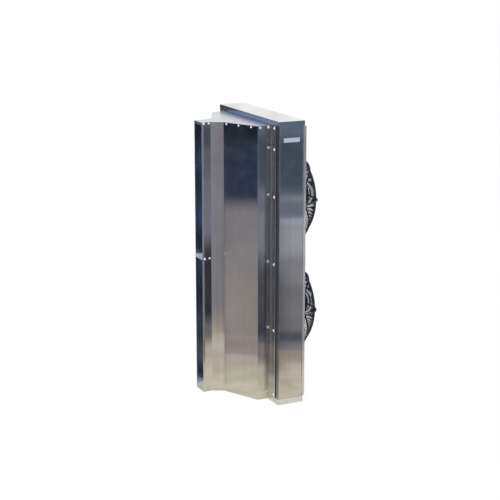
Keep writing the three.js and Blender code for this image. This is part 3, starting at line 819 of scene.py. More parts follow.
class FastenerTree(ShapeTree):
    """Sets a screw head on each point of a mesh, along the facing that the point carries."""

    def __init__(self) -> None:
        """Builds the tree."""
        super().__init__("fasteners", {"Head": "Object", "Seed": "Int"})
        spots = self.add("GeometryNodeMeshToPoints", {"Mesh": self.given("Geometry")})
        facing = self.add("GeometryNodeInputNamedAttribute", {"Name": "facing"}, data_type="FLOAT_VECTOR")
        aligned = self.add("FunctionNodeAlignRotationToVector", {"Vector": facing}, axis="Z")
        spin = self.add("FunctionNodeRandomValue", {2: 0.0, 3: 2 * math.pi, "Seed": self.given("Seed")})
        twist = self.add("FunctionNodeAxisAngleToRotation", {"Axis": (0.0, 0.0, 1.0), "Angle": spin.outputs[1]})
        placed = self.add("FunctionNodeRotateRotation", {0: aligned, 1: twist}, rotation_space="LOCAL")
        head = self.add("GeometryNodeObjectInfo", {"Object": self.given("Head"), "As Instance": True})
        copies = {"Points": spots, "Instance": head.outputs["Geometry"], "Rotation": placed}
        self.end(self.add("GeometryNodeInstanceOnPoints", copies))


class Workshop:
    """What all the sub-assemblies share: the finishes, the node trees and the two screw heads."""

    def __init__(self) -> None:
        """Makes the palette, the trees and the heads."""
        self.palette = Palette()
        self.folds = FoldedSheetTree()
        self.copies = TurnedCopiesTree()
        self.rods = RodTree()
        self.wires = GuardWireTree()
        self.fasteners = FastenerTree()
        self.large = self.head("screw_head", *LARGE_SCREW)
        self.small = self.head("small_screw_head", *SMALL_SCREW)

    def settle(self, piece: Piece, finish: str, body: str, *nodes: str) -> Piece:
        """Dresses a finished piece, lets it ride on its body and hides what it stands for.

        Args:
            piece: The finished piece.
            finish: Its finish.
            body: The body that it rides on.
            nodes: The nodes that it replaces.

        Returns:
            The same piece.
        """
        self.palette.dress(piece, finish)
        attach(piece, body)
        if nodes:
            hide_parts(*nodes)
        LOG.info("%s: %d faces", piece.name, len(piece.data.polygons))
        return piece

    def folded(self, name: str, path: list[Point], run: Point, sheet: float, bend: float, finish: str,
               *nodes: str) -> Piece:
        """Makes a folded sheet of the cabinet.

        Args:
            name: The piece's name.
            path: Middle line of the sheet at one end.
            run: How far the line is drawn out, and which way.
            sheet: Thickness of the sheet.
            bend: Radius of its folds.
            finish: Its finish.
            nodes: The nodes that it replaces.

        Returns:
            The finished sheet.
        """
        piece = new_line(name, path)
        material = self.palette.materials[finish]
        self.folds.grow(piece, Bend_Radius=bend, Bend_Steps=BEND_STEPS, Run=run, Material=material)
        modified(piece, "SOLIDIFY", thickness=sheet, offset=0.0, use_even_offset=True)
        return self.settle(crisp(outward(baked(piece))), finish, CABINET, *nodes)

    def screwed(self, name: str, head: Piece, spots: list[tuple[Point, Point]], finish: str, seed: int) -> Piece:
        """Sets screws of the cabinet at the given places.

        Args:
            name: The piece's name.
            head: The screw head that is repeated.
            spots: Place and facing of each screw.
            finish: Their finish.
            seed: Seed for how each is turned.

        Returns:
            The finished screws as one piece.
        """
        piece = new_piece(name, [place for place, _ in spots], [])
        facing = piece.data.attributes.new("facing", "FLOAT_VECTOR", "POINT")
        facing.data.foreach_set("vector", [value for _, way in spots for value in way])
        self.fasteners.grow(piece, Head=head, Seed=seed, Material=self.palette.materials[finish])
        return self.settle(shade(baked(piece)), finish, CABINET)

    def head(self, name: str, radius: float, height: float) -> Piece:
        """A domed screw head with a recess, facing +Z, that is only copied.

        Args:
            name: The head's name.
            radius: Radius of its rim.
            height: Its height.

        Returns:
            The head.
        """
        steps, sides, rim, recess, brim, floor = 6, 14, 0.2, 0.2, 0.8, 0.7
        turns = [i / steps * math.pi / 2 for i in range(steps)]
        dome = [(radius * math.cos(turn), height * (rim + (1 - rim) * math.sin(turn))) for turn in turns]
        profile = [(0.0, 0.0), (radius, 0.0), *dome, (recess * radius, brim * height), (0.0, floor * height)]
        head = turned(name, profile, (0, 0, 0), sides)
        head.data.transform(Matrix.Rotation(math.pi / 2, 4, "X"))
        return shade(head)

    def clear(self) -> None:
        """Removes the heads that were only copied."""
        for head in (self.large, self.small):
            bpy.data.objects.remove(head)


# Sub-assemblies


@dataclass
class Cabinet:
    """Fan box: lid, base cap, front, sides, back plate and its stiffener."""

    shop: Workshop
    panel: float = 1.2 * MM
    cap: float = 1.5 * MM
    side_return: float = 22 * MM
    bend: float = 2 * MM
    corner_bend: float = 4 * MM
    pan_bend: float = 2 * MM
    pan_corner: float = 6 * MM
    pan_taper: float = 0.2 * MM
    fan_opening: float = 251.5 * MM
    plate_place: Flat = (0.026, 1.3925)
    plate_size: Flat = (0.090, 0.022)
    plate_sheet: float = 0.8 * MM
    plate_edge: float = 0.25 * MM
    screw_inset: float = 11 * MM
    screw_rows: int = 7

    def caps(self) -> None:
        """Lid and base cap, each one sheet with its rim folded round."""
        for node, rises, finish in (("top_lid", False, "crosswise"), ("bottom_cap", True, "satin")):
            low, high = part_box(node)
            piece = sheet_tray(f"{node}_sheet", low, high, rises, self.cap, self.bend)
            self.shop.settle(crisp(baked(piece)), finish, CABINET, node)

    def sides(self) -> None:
        """Side panels with a return along both long edges."""
        for node, side in (("near_side_panel", 1), ("far_side_panel", -1)):
            low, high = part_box(node)
            half = self.panel / 2
            outer = (high.x if side > 0 else low.x) - side * half
            inner = outer - side * (self.side_return - half)
            front, back = low.y + half, high.y - half
            path = [(x, y, low.z) for x, y in ((inner, back), (outer, back), (outer, front), (inner, front))]
            run = (0.0, 0.0, high.z - low.z)
            self.shop.folded(f"{node}_sheet", path, run, self.panel, self.corner_bend, "upright", node)

    def back_pan(self) -> None:
        """Back plate: a shallow pan with rounded folds and an opening for each fan."""
        low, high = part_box("back_plate")
        fold = rounded_corner((self.pan_taper + self.pan_bend, high.y - self.pan_bend), self.pan_bend, 1)
        profile = [(0.0, low.y), *reversed(fold)]
        holes = tuple((joint["pos_m"][::2], self.fan_opening) for joint in frame["joints"])
        piece = lofted("back_pan", low, high, self.pan_corner, profile, holes, False)
        modified(piece, "SOLIDIFY", thickness=self.panel, offset=-1.0, use_even_offset=True)
        self.shop.settle(crisp(outward(baked(piece))), "pan", CABINET, "back_plate")

    def blank_plate(self) -> None:
        """Small blank plate on the near side panel."""
        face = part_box("near_side_panel")[1].x
        y, z = self.plate_place
        low = Vector((face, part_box("front_panel")[0].y + y, z))
        high = low + Vector((self.plate_sheet, *self.plate_size))
        piece = softened_box("blank_plate", low, high, self.plate_edge)
        self.shop.settle(crisp(baked(piece)), "plate", CABINET)

    def screws(self) -> None:
        """Screws round the edge of the back plate."""
        low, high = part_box("back_plate")
        inset, last = self.screw_inset, self.screw_rows - 1
        spots = []
        for x in (low.x + inset, high.x - inset):
            for i in range(self.screw_rows):
                spots.append((x, high.y, low.z + inset + (high.z - low.z - 2 * inset) * i / last))
        for z in (low.z + inset, high.z - inset):
            for share in (1 / 3, 2 / 3):
                spots.append((low.x + (high.x - low.x) * share, high.y, z))
        facing = [(spot, (0, 1, 0)) for spot in spots]
        self.shop.screwed("back_plate_screws", self.shop.small, facing, "screw", 3)

    def build(self) -> None:
        """Builds the whole fan box. The front and the stiffener keep their meshes."""
        self.caps()
        self.sides()
        # The front panel gets the darker steel as painted shade in the gap beside the nozzle flange
        self.shop.palette.dress_nodes({"front_panel": "painted_shade", "back_plate_stiffener": "zinc"})
        self.back_pan()
        self.blank_plate()
        self.screws()


@dataclass
class Nozzle:
    """Folded nozzle: two walls, two end plates, the seal behind it and the strap across its slot."""

    shop: Workshop
    sheet: float = 1.5 * MM
    bend: float = 1.8 * MM
    guide_rise: float = 20 * MM
    guide_reach: float = 44 * MM
    guide_foot: float = 11 * MM
    hem: float = 10 * MM
    hem_stand: float = 2.1 * MM
    edge_hem: float = 8 * MM
    edge_stand: float = 0.3 * MM
    fold_gap: float = 2.2 * MM
    mouth_half: float = 43 * MM
    mouth_reach: float = 289 * MM
    lip: float = 52 * MM
    knee_half: float = 75.5 * MM
    knee_reach: float = 177 * MM
    shoulder_half: float = 280.5 * MM
    shoulder_reach: float = 80 * MM
    flange: float = 50 * MM
    inner_face: float = -0.2
    flange_rows: tuple[float, ...] = (0.046, 0.399, 0.754, 1.108, 1.353, 1.461)
    flange_screw_x: float = 0.316
    large_lip_screws: tuple[Flat, ...] = ((-0.277, 1.465), (-0.277, 0.752))
    small_lip_screws: tuple[Flat, ...] = ((-0.247, 1.465), (-0.247, 0.752))
    slope_screws: tuple[Flat, ...] = ((0.093, 1.464), (0.166, 1.464), (0.241, 1.464))
    shoulder_screws: tuple[Flat, ...] = ((-0.067, 1.463), (-0.023, 1.463))

    def __post_init__(self) -> None:
        """Finds the front of the fan box, from which the reaches are measured."""
        self.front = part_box("front_panel")[0].y
        low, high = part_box("nozzle_near_wall")
        self.bottom, self.top, self.rear = low.z, high.z, high.y

    def wall_path(self, side: int) -> list[Point]:
        """Middle line of one wall, from the hem at its mouth to the hem on its flange.

        Args:
            side: 1 for the near wall, -1 for the far one.

        Returns:
            The corners of the line.
        """
        half = self.sheet / 2
        seat = self.rear - self.front
        slope = [Vector(corner) for corner in (
            (self.mouth_half, -self.mouth_reach), (self.mouth_half, self.lip - self.mouth_reach),
            (self.knee_half, -self.knee_reach), (self.shoulder_half, -self.shoulder_reach),
            (self.shoulder_half, seat), (self.shoulder_half + self.flange, seat))]
        ways = [(b - a).normalized() for a, b in zip(slope, slope[1:])]
        normals = [Vector((way.y, -way.x)) for way in ways]
        middle = []
        for i, corner in enumerate(slope):
            before, after = normals[max(i - 1, 0)], normals[min(i, len(normals) - 1)]
            middle.append(corner + (before + after) * (half / (1 + before.dot(after))))
        mouth = middle[0] + Vector((0, half))
        fold = mouth + Vector((self.fold_gap, 0))
        end = Vector((fold.x + self.hem_stand, self.hem - self.mouth_reach))
        edge = middle[-1] - Vector((half, 0))
        turn = edge - Vector((0, self.fold_gap))
        rim = turn - Vector((self.edge_hem, self.edge_stand))
        line = [end, fold, mouth, *middle[1:-1], edge, turn, rim]
        return [(side * p.x, self.front + p.y, self.bottom) for p in line]

    def walls(self) -> None:
        """The two folded walls, with a darker, bluer finish on the faces towards the slot as painted shade."""
        run = (0.0, 0.0, self.top - self.bottom)
        for node, side in (("nozzle_near_wall", 1), ("nozzle_far_wall", -1)):
            piece = self.shop.folded(f"{node}_sheet", self.wall_path(side), run, self.sheet, self.bend, "upright", node)
            # Faces towards the slot get the darker, bluer inside finish: painted shade
            piece.data.materials.append(self.shop.palette.materials["inside"])
            for face in piece.data.polygons:
                face.material_index = int(side * face.normal.x < self.inner_face)

    def strap(self) -> None:
        """Strap across the slot, one strip bent up at both ends."""
        low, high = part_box("outlet_spacer")
        half = self.sheet / 2
        left, right, foot = low.x + half, high.x - half, low.z + half
        path = [(x, low.y, z) for x, z in ((left, high.z), (left, foot), (right, foot), (right, high.z))]
        run = (0.0, high.y - low.y, 0.0)
        self.shop.folded("outlet_spacer_strap", path, run, self.sheet, self.bend, "guide", "outlet_spacer")

    def guide(self) -> None:
        """Thin plate at the slot's foot: upright at the mouth, then rising inwards."""
        half = self.mouth_half - 2 * SEAT
        front = self.front - self.mouth_reach + self.sheet
        places = ((0.0, 2 * SEAT + self.sheet), (0.0, self.guide_foot),
                  (self.guide_reach, self.guide_foot + self.guide_rise))
        path = [(-half, front + y, self.bottom + z) for y, z in places]
        self.shop.folded("outlet_foot_guide", path, (2 * half, 0.0, 0.0), self.sheet, self.bend, "guide")

    def sideways(self, side: int, reach: float, rows: tuple[Flat, ...]) -> list[tuple[Point, Point]]:
        """Place and facing of each screw on a face that looks sideways, from its depth and height."""
        return [((side * reach, self.front + y, z), (side, 0, 0)) for y, z in rows]

    def screws(self) -> None:
        """Screws of the flanges, lips, slopes and shoulders on both sides."""
        slope = Vector((self.shoulder_half - self.knee_half, self.knee_reach - self.shoulder_reach)).normalized()
        face = Vector((slope.y, -slope.x))
        lip_face, shoulder_face = self.mouth_half + self.sheet, self.shoulder_half + self.sheet
        large, small = [], []
        for side in (1, -1):
            large += [((side * self.flange_screw_x, self.rear - self.sheet, z), (0, -1, 0)) for z in self.flange_rows]
            large += self.sideways(side, lip_face, self.large_lip_screws)
            small += self.sideways(side, lip_face, self.small_lip_screws)
            for x, z in self.slope_screws:
                y = -self.knee_reach + (x - self.knee_half) * slope.y / slope.x
                place = Vector((x, y)) + face * self.sheet
                small.append(((side * place.x, self.front + place.y, z), (side * face.x, face.y, 0)))
            small += self.sideways(side, shoulder_face, self.shoulder_screws)
        self.shop.screwed("nozzle_flange_screws", self.shop.large, large, "screw", 5)
        self.shop.screwed("nozzle_wall_screws", self.shop.small, small, "screw", 7)

    def build(self) -> None:
        """Builds the whole nozzle. The end plates and the seal keep their meshes."""
        self.walls()
        self.strap()
        self.guide()
        # The top plate's bluer tint is a painted reflection of blue sky
        self.shop.palette.dress_nodes(
            {"nozzle_top_plate": "hazed_painted_reflection", "nozzle_bottom_plate": "crosswise", "duct_gasket": "foam"})
        self.screws()


@dataclass
class Fan:
    """One fan: inlet ring, guard and motor on the cabinet, rotor and impeller turning together."""

    shop: Workshop
    prefix: str
    soft: float = 0.8 * MM
    throat: float = 229 * MM
    bell: float = 22 * MM
    throat_length: float = 38 * MM
    ring_sheet: float = 1.5 * MM
    ring_flange: float = 15 * MM
    ring_screws: int = 12
    ring_screw_shift: float = 1.5 * MM
    foot_radius: float = 263 * MM
    crown_radius: float = 134 * MM
    hub_ring: float = 78 * MM
    wire: float = 1.6 * MM
    rod: float = 4.6 * MM
    weld: float = 0.6 * MM
    strut_inner: float = 50 * MM
    foot_tab: Point = (24 * MM, 2 * MM, 18 * MM)
    tab_edge: float = 0.6 * MM
    dome_rings: int = 25
    flat_rings: int = 6
    struts: int = 6
    boss: Flat = (26 * MM, 2.4 * MM)
    plate_screw_radius: float = 60 * MM
    can_wall: float = 7 * MM
    can_nose: float = 46 * MM
    can_dish: float = 5 * MM
    can_shoulder: float = 3 * MM
    can_chamfer: float = 0.5 * MM
    can_overlap: float = 12.5 * MM
    shaft: float = 8 * MM
    blades: int = 5
    blade_root: float = 64.3 * MM
    blade_tip: float = 225 * MM
    chords: Flat = (92 * MM, 150 * MM)
    pitches: Flat = (38.0, 20.0)
    thicknesses: Flat = (5 * MM, 2.4 * MM)
    sweep: float = 24.0
    set_back: float = 54 * MM
    camber: float = 0.07
    blunt: float = 0.35
    sleeve: Flat = (62.3 * MM, 66.3 * MM)
    sleeve_length: float = 66 * MM

    def __post_init__(self) -> None:
        """Finds the fan's axis, where it crosses the back of the back plate."""
        joint = next(j for j in frame["joints"] if j["name"] == f"{self.prefix}_fan_spin")
        self.axis = tuple(joint["pos_m"])
        self.wheel = joint["child"]

    def node(self, part: str) -> str:
        """Name of one of this fan's nodes."""
        return f"{self.prefix}_{part}"

    def depth_of(self, part: str) -> Flat:
        """How deep a node starts and ends, measured back from the back plate."""
        low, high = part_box(self.node(part))
        return low.y - self.axis[1], high.y - self.axis[1]

    def spin(self, part: str, name: str, profile: list[Flat], finish: str, body: str) -> None:
        """Turns a [radius, depth] profile into the piece that stands for a part's node."""
        piece = shade(turned(self.node(name), profile, self.axis))
        self.shop.settle(piece, finish, body, self.node(part))

    def repeat(self, piece: Piece, copies: int, finish: str, body: str, part: str) -> None:
        """Repeats a shape round the fan's axis as the piece that stands for a part's node."""
        self.shop.copies.grow(piece, Copies=copies, First_Angle=0.0, Centre=self.axis,
                              Material=self.shop.palette.materials[finish])
        self.shop.settle(shade(baked(piece)), finish, body, self.node(part))

    def screws(self, name: str, radius: float, depth: float, count: int, finish: str, seed: int) -> None:
        """Sets screws in a circle round the axis, half a step on from the struts.

        Args:
            name: The piece's name without the fan's.
            radius: Radius of the circle.
            depth: How deep they stand, measured back from the back plate.
            count: How many there are.
            finish: Their finish.
            seed: Seed for how each is turned.
        """
        ring = circle((self.axis[0], self.axis[2]), radius, count, 0.5)
        spots = [((x, self.axis[1] + depth, z), (0, 1, 0)) for x, z in ring]
        self.shop.screwed(self.node(name), self.shop.small, spots, finish, seed)

    def inlet_ring(self) -> None:
        """Spun inlet ring: throat with a rolled end, bell and flange."""
        face = SEAT + self.ring_sheet
        centre = (self.throat + self.bell, face - self.bell)
        end = centre[1] - self.throat_length
        air = reversed(rounded_corner(centre, self.bell, 1, 12))
        back = rounded_corner(centre, self.bell - self.ring_sheet, 1, 12)
        rim = centre[0] + self.ring_flange
        profile = [(self.throat, end), *air, (rim, face), (rim, SEAT), *back, (self.throat + self.ring_sheet, end)]
        self.spin("inlet_ring", "inlet_ring_spun", profile, "black", CABINET)

    def guard(self) -> None:
        """Close wire rings welded inside six bent rods, which stand on tabs."""
        material = self.shop.palette.materials["black"]
        crown = self.depth_of("fan_guard")[1] - self.rod
        foot = 2 * SEAT + self.ring_sheet
        base = foot + self.wire
        lift = self.wire + self.rod - self.weld
        rise = crown - lift - base
        wires = new_piece(self.node("guard_wires"), [], [])
        self.shop.wires.grow(
            wires, Dome_Rings=self.dome_rings, Flat_Rings=self.flat_rings, Foot_Radius=self.foot_radius,
            Crown_Radius=self.crown_radius, Hub_Radius=self.hub_ring, Base_Depth=base, Rise=rise,
            Wire_Radius=self.wire, Wire_Sides=WIRE_SIDES, Ring_Steps=ROUND_STEPS, Centre=self.axis, Material=material)
        self.shop.settle(shade(baked(wires)), "black", CABINET, self.node("fan_guard"))
        reach = self.foot_radius - self.crown_radius + lift
        arch = [(self.crown_radius + reach * x, base + (rise + lift) * y, 0.0)
                for x, y in rounded_corner((0.0, 0.0), 1.0, 0, 24)]
        points = [(self.crown_radius + reach, foot, 0.0), *arch, (self.strut_inner, crown, 0.0)]
        struts = new_line(self.node("guard_struts"), points)
        self.shop.rods.grow(struts, Rod_Radius=self.rod, Sides=ROD_SIDES, Material=material)
        self.repeat(struts, self.struts, "black", CABINET, "fan_guard")
        length, sheet, width = self.foot_tab
        low = Vector((self.foot_radius + lift - length * 2 / 3, foot, -width / 2))
        tabs = softened_box(self.node("guard_tabs"), low, low + Vector((length, sheet, width)), self.tab_edge)
        self.repeat(tabs, self.struts, "black", CABINET, "fan_guard")

    def motor(self) -> None:
        """Motor plate with a boss, and the stator and bearings with their meshes as they are."""
        start, end = self.depth_of("motor_plate")
        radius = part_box(self.node("motor_plate"))[1].x - self.axis[0]
        (boss, rise), soft = self.boss, self.soft
        profile = [(0.0, start), (radius - soft, start), (radius, start + soft), (radius, end - soft),
                   (radius - soft, end), (boss, end), (boss - soft, end + rise - soft),
                   (boss - 2 * soft, end + rise), (0.0, end + rise)]
        self.spin("motor_plate", "motor_plate_disc", profile, "black", CABINET)
        finishes = {"motor_stator": "stator", "motor_bearing_rear": "ground", "motor_bearing_front": "ground"}
        self.shop.palette.dress_nodes({self.node(part): finish for part, finish in finishes.items()})

    def rotor(self) -> None:
        """Rotor can with a dished nose and rounded shoulder, and its shaft."""
        start, end = self.depth_of("motor_rotor")
        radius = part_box(self.node("motor_rotor"))[1].x - self.axis[0]
        mouth = self.depth_of("motor_stator")[1] - self.can_overlap
        dish, inside = start + self.can_dish, start + self.can_wall + self.can_dish
        shoulder = rounded_corner((radius - self.can_shoulder, start + self.can_shoulder), self.can_shoulder, 3)
        profile = [(0.0, dish), (self.can_nose - self.can_dish, dish), (self.can_nose, start), *shoulder,
                   (radius, mouth - self.can_chamfer), (radius - self.can_chamfer, mouth),
                   (radius - self.can_wall, mouth), (radius - self.can_wall, inside), (self.shaft, inside),
                   (self.shaft, end - self.soft), (self.shaft - self.soft, end), (0.0, end)]
        self.spin("motor_rotor", "motor_rotor_can", profile, "rotor", self.wheel)

    def blade_ring(self, share: float, steps: int) -> list[Point]:
        """Outline of one blade across its chord.

        Args:
            share: How far along the blade, from root to tip.
            steps: Faces along each side.

        Returns:
            The points round the section, about the fan's own axis.
        """
        pairs = ((self.blade_root, self.blade_tip), self.chords, self.pitches, self.thicknesses)
        radius, chord, degrees, thickness = (root + (tip - root) * share for root, tip in pairs)
        pitch = math.radians(degrees)
        middle = self.depth_of("motor_rotor")[0] + self.sleeve_length / 2 - self.set_back * share
        points = []
        for side in (1, -1):
            for i in range(steps + 1):
                t = i / steps if side > 0 else 1 - i / steps
                arch = 4 * t * (1 - t)
                along = (t - 0.5) * chord
                off = self.camber * chord * arch + side * thickness / 2 * (self.blunt + (1 - self.blunt) * arch)
                across = along * math.cos(pitch) - off * math.sin(pitch)
                depth = middle + along * math.sin(pitch) + off * math.cos(pitch)
                turn = math.radians(self.sweep) * share * share + across / radius
                points.append((radius * math.cos(turn), depth, radius * math.sin(turn)))
        return points

    def impeller(self) -> None:
        """Five sickle blades on a sleeve."""
        stations, steps = 15, 16
        points = [point for i in range(stations) for point in self.blade_ring(i / (stations - 1), steps)]
        ring = 2 * (steps + 1)
        faces = [(s * ring + i, s * ring + (i + 1) % ring, (s + 1) * ring + (i + 1) % ring, (s + 1) * ring + i)
                 for s in range(stations - 1) for i in range(ring)]
        for start in (0, (stations - 1) * ring):
            faces += [(start + i, start + i + 1, start + ring - 2 - i, start + ring - 1 - i) for i in range(steps)]
        blades = outward(new_piece(self.node("blades"), points, faces))
        self.repeat(blades, self.blades, "blade", self.wheel, "impeller")
        start = self.depth_of("motor_rotor")[0]
        end, soft = start + self.sleeve_length, self.soft
        inner, outer = self.sleeve
        profile = [(inner, start), (outer - soft, start), (outer, start + soft), (outer, end - soft),
                   (outer - soft, end), (inner, end)]
        self.spin("impeller", "blade_sleeve", profile, "blade", self.wheel)

    def build(self) -> None:
        """Builds the whole fan."""
        self.inlet_ring()
        self.guard()
        self.motor()
        self.rotor()
        self.impeller()
        flange_middle = self.throat + self.bell + self.ring_flange / 2 - self.ring_screw_shift
        self.screws("ring_screws", flange_middle, SEAT + self.ring_sheet, self.ring_screws, "black", 11)
        back = self.depth_of("motor_plate")[1]
        self.screws("motor_plate_screws", self.plate_screw_radius, back, self.struts, "ground", 13)


@dataclass
class Terminals:
    """Terminal box on the back plate, with its lid, block and blank gland."""

    shop: Workshop
    corner: float = 6 * MM
    edge: float = 1.6 * MM
    edge_middle: float = 0.3
    panel_inset: float = 12 * MM
    panel_rise: float = 3 * MM
    screw_inset: float = 7 * MM

    def edged(self, low: float, high: float, inset: float = 0.0) -> list[Flat]:
        """Inset and depth of each outline of a moulded block with softened edges."""
        part = self.edge * self.edge_middle
        return [(inset + self.edge, low), (inset, low + self.edge), (inset, high - self.edge),
                (inset + part, high - part), (inset + self.edge, high)]

    def build(self) -> None:
        """Builds the terminal box. The block and the gland keep their meshes."""
        low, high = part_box("terminal_box")
        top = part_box("terminal_box_lid")[1].y
        box = lofted("terminal_housing", low, high, self.corner, self.edged(low.y, high.y))
        self.shop.settle(shade(box), "grey", CABINET, "terminal_box")
        step = top - self.panel_rise
        profile = self.edged(high.y + SEAT, step) + self.edged(step, top, self.panel_inset)[1:]
        lid = lofted("terminal_lid", low, high, self.corner, profile)
        self.shop.settle(shade(lid), "grey", CABINET, "terminal_box_lid")
        spots = [((x, step, z), (0, 1, 0)) for x in (low.x + self.screw_inset, high.x - self.screw_inset)
                 for z in (low.z + self.screw_inset, high.z - self.screw_inset)]
        self.shop.screwed("terminal_lid_screws", self.shop.small, spots, "ground", 17)
        self.shop.palette.dress_nodes({"terminal_block": "nylon", "supply_gland": "nylon"})


# The studio


@dataclass(frozen=True)
class Card:
    """A plain card that the steel mirrors, with soft edges, on the wall or the floor of the screen.

    Azimuths are in degrees. On the floor, the height is the distance from the middle.
    """

    name: str
    azimuth: Flat
    height: Flat
    colour: Colour
    soft_turn: float = 2.0
    soft_height: float = 0.03


@dataclass(frozen=True)
class Lamp:
    """A square area lamp that is aimed at the object."""

    name: str
    place: Point
    power: float
    mirrored: bool
    size: float = 3.0
    aim: Point = (0, 0, 0.7)


@dataclass
class Studio:
    """Camera, pale floor, soft light, and the screen of cards that the steel mirrors."""

    lens: float = 100.09
    sensor: float = 36.0
    eye: Point = (6.5289, -3.0929, 2.5366)
    pitch: float = 13.808
    yaw: float = 64.591
    sky: Colour = (0.97, 0.985, 1.0)
    sky_level: float = 0.62
    floor_reach: float = 70.0
    floor_paint: float = 0.94
    floor_glow: float = 1.02
    floor_share: float = 0.94
    screen_radius: float = 1.25
    screen_height: float = 2.3
    screen_lift: float = 2 * MM
    screen_steps: int = 72
    mottle_scale: float = 7.0
    mottle: float = 0.16
    wall_tone: Colour = (0.26, 0.237, 0.263)
    floor_tones: tuple[tuple[float, Colour], ...] = (
        (0.35, (0.70, 0.65, 0.53)), (0.60, (0.58, 0.54, 0.42)), (0.86, (0.525, 0.47, 0.41)), (0.89, (0.34, 0.30, 0.27)))
    cards: tuple[Card, ...] = (
        Card("pale upper wall", (-181, 181), (1.45, 3), (0.72, 0.73, 0.75), 1, 0.10),
        Card("grey wall on the left", (-64, -22), (0.1, 1.5), (0.295, 0.28, 0.31), 6, 0.05),
        Card("warm lower wall", (-135, -55), (-0.1, 0.40), (0.325, 0.30, 0.268), 6, 0.22),
        Card("warm base of the wall", (-66, -22), (-0.1, 0.11), (0.50, 0.44, 0.39), 6, 0.07),
        Card("sky behind the fans", (40, 120), (0.25, 3), (0.50, 0.62, 0.80), 6, 0.15),
        Card("slate on the right", (-4, 36), (-0.1, 3), (0.16, 0.175, 0.22), 3),
        Card("dark doorway", (-3, 18.2), (0.01, 0.53), (0.010, 0.015, 0.022), 0.8, 0.06),
        Card("pale window", (18.9, 36), (0.56, 0.79), (0.40, 0.405, 0.44), 1, 0.03),
        Card("window glow", (18.9, 36), (0.36, 0.56), (0.29, 0.29, 0.315), 1, 0.06),
        Card("window sill", (18.9, 36), (0.765, 0.80), (0.47, 0.50, 0.64), 1, 0.008),
        Card("pale base", (18.9, 36), (-0.1, 0.36), (0.225, 0.22, 0.245), 1, 0.04),
        Card("dark skirting", (18.9, 36), (0.055, 0.115), (0.085, 0.09, 0.12), 1, 0.012),
        Card("dark ceiling band", (-4, 36), (0.955, 1.27), (0.060, 0.080, 0.112), 3, 0.04),
        Card("grey ceiling", (-4, 14), (0.95, 1.12), (0.14, 0.155, 0.195), 2, 0.03),
        Card("bright line", (18.9, 36), (0.905, 0.93), (0.25, 0.29, 0.34), 1, 0.008),
        Card("blue above the ceiling", (10, 36), (1.30, 3), (0.12, 0.155, 0.23), 3, 0.03),
        Card("dark beam on the right", (10, 36), (1.42, 1.7), (0.03, 0.036, 0.055), 3, 0.05),
        Card("navy sky", (-112, -66), (0.825, 1.5), (0.026, 0.040, 0.076), 4, 0.045),
        Card("navy sky, upper", (-112, -66), (1.2, 1.5), (0.006, 0.016, 0.032), 4, 0.05),
        Card("slate in front", (-176, -134), (-0.1, 2.05), (0.125, 0.124, 0.132), 4),
        Card("dark beam in front", (-176, -134), (1.36, 1.50), (0.03, 0.036, 0.05), 4, 0.03),
        Card("blue board", (-160, -145), (1.50, 2.05), (0.147, 0.207, 0.385), 1.5, 0.03),
        Card("grey end of the board", (-172, -160.5), (1.50, 2.05), (0.21, 0.23, 0.26), 1.0, 0.03),
        Card("white sky behind", (120, 176), (1.46, 3), (0.87, 0.87, 0.86), 6, 0.04),
        Card("dark gap", (-36, -17.5), (-0.1, 3), (0.036, 0.043, 0.064), 2),
        Card("dark gap, lower", (-36, -17.5), (-0.1, 0.55), (0.024, 0.029, 0.040), 2, 0.06),
        Card("pale pillar", (-15, -9.5), (-0.1, 3), (0.55, 0.61, 0.70), 1.5),
    )
    patches: tuple[Card, ...] = (
        Card("pale floor on the left", (-68, -26), (0.80, 1.3), (0.62, 0.55, 0.48), 4, 0.04),
        Card("dim floor beyond", (-8, 17.4), (0.97, 1.3), (0.15, 0.15, 0.165), 1.2, 0.04),
        Card("pale floor on the right", (17.8, 42), (0.30, 1.04), (0.66, 0.60, 0.475), 1.5, 0.06),
        Card("edge of the pale floor", (17.8, 42), (1.02, 1.3), (0.44, 0.38, 0.31), 1.5, 0.03),
        Card("dark floor by the gap", (-29, -17), (0.69, 1.3), (0.13, 0.125, 0.12), 2, 0.03),
        Card("dark floor in front", (-178, -122), (-1, 2), (0.26, 0.245, 0.22), 5, 0.04),
    )
    lamps: tuple[Lamp, ...] = (
        Lamp("key", (3.2, -3.6, 4.2), 150.0, True),
        Lamp("back", (-2.0, 3.6, 3.4), 70.0, False),
    )

    def camera(self) -> None:
        """Camera at the photograph's viewpoint."""
        data = bpy.data.cameras.new("camera")
        data.lens, data.sensor_width, data.clip_end = self.lens, self.sensor, 100.0
        camera = bpy.data.objects.new("camera", data)
        camera.location = Vector(self.eye) + Vector((0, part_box("front_panel")[0].y, 0))
        camera.rotation_euler = (math.radians(90 - self.pitch), 0.0, math.radians(self.yaw))
        bpy.context.scene.collection.objects.link(camera)
        bpy.context.scene.camera = camera

    def shader(self, owner: bpy.types.World | Material) -> Graph:
        """Empties the node tree of a world or a material.

        Args:
            owner: The world or the material.

        Returns:
            Its empty tree.
        """
        owner.use_nodes = True
        owner.node_tree.nodes.clear()
        return Graph(owner.node_tree)

    def seen(self, graph: Graph) -> Socket:
        """Whether a ray comes from the camera, a reflection or a clear piece.

        Args:
            graph: The material or world.

        Returns:
            1 for such a ray, else 0.
        """
        path = graph.add("ShaderNodeLightPath").outputs
        clear = graph.math("MAXIMUM", path["Is Glossy Ray"], path["Is Transmission Ray"])
        return graph.math("MAXIMUM", path["Is Camera Ray"], clear)

    def world(self) -> None:
        """White background that lights the object at a plain level."""
        world = bpy.data.worlds.new("studio")
        bpy.context.scene.world = world
        graph = self.shader(world)
        light = graph.add("ShaderNodeBackground", {"Color": (*self.sky, 1.0), "Strength": self.sky_level})
        white = graph.add("ShaderNodeBackground", {"Color": WHITE, "Strength": 1.0})
        mixed = graph.add("ShaderNodeMixShader", {0: self.seen(graph), 1: light, 2: white})
        graph.put(graph.add("ShaderNodeOutputWorld").inputs[0], mixed)

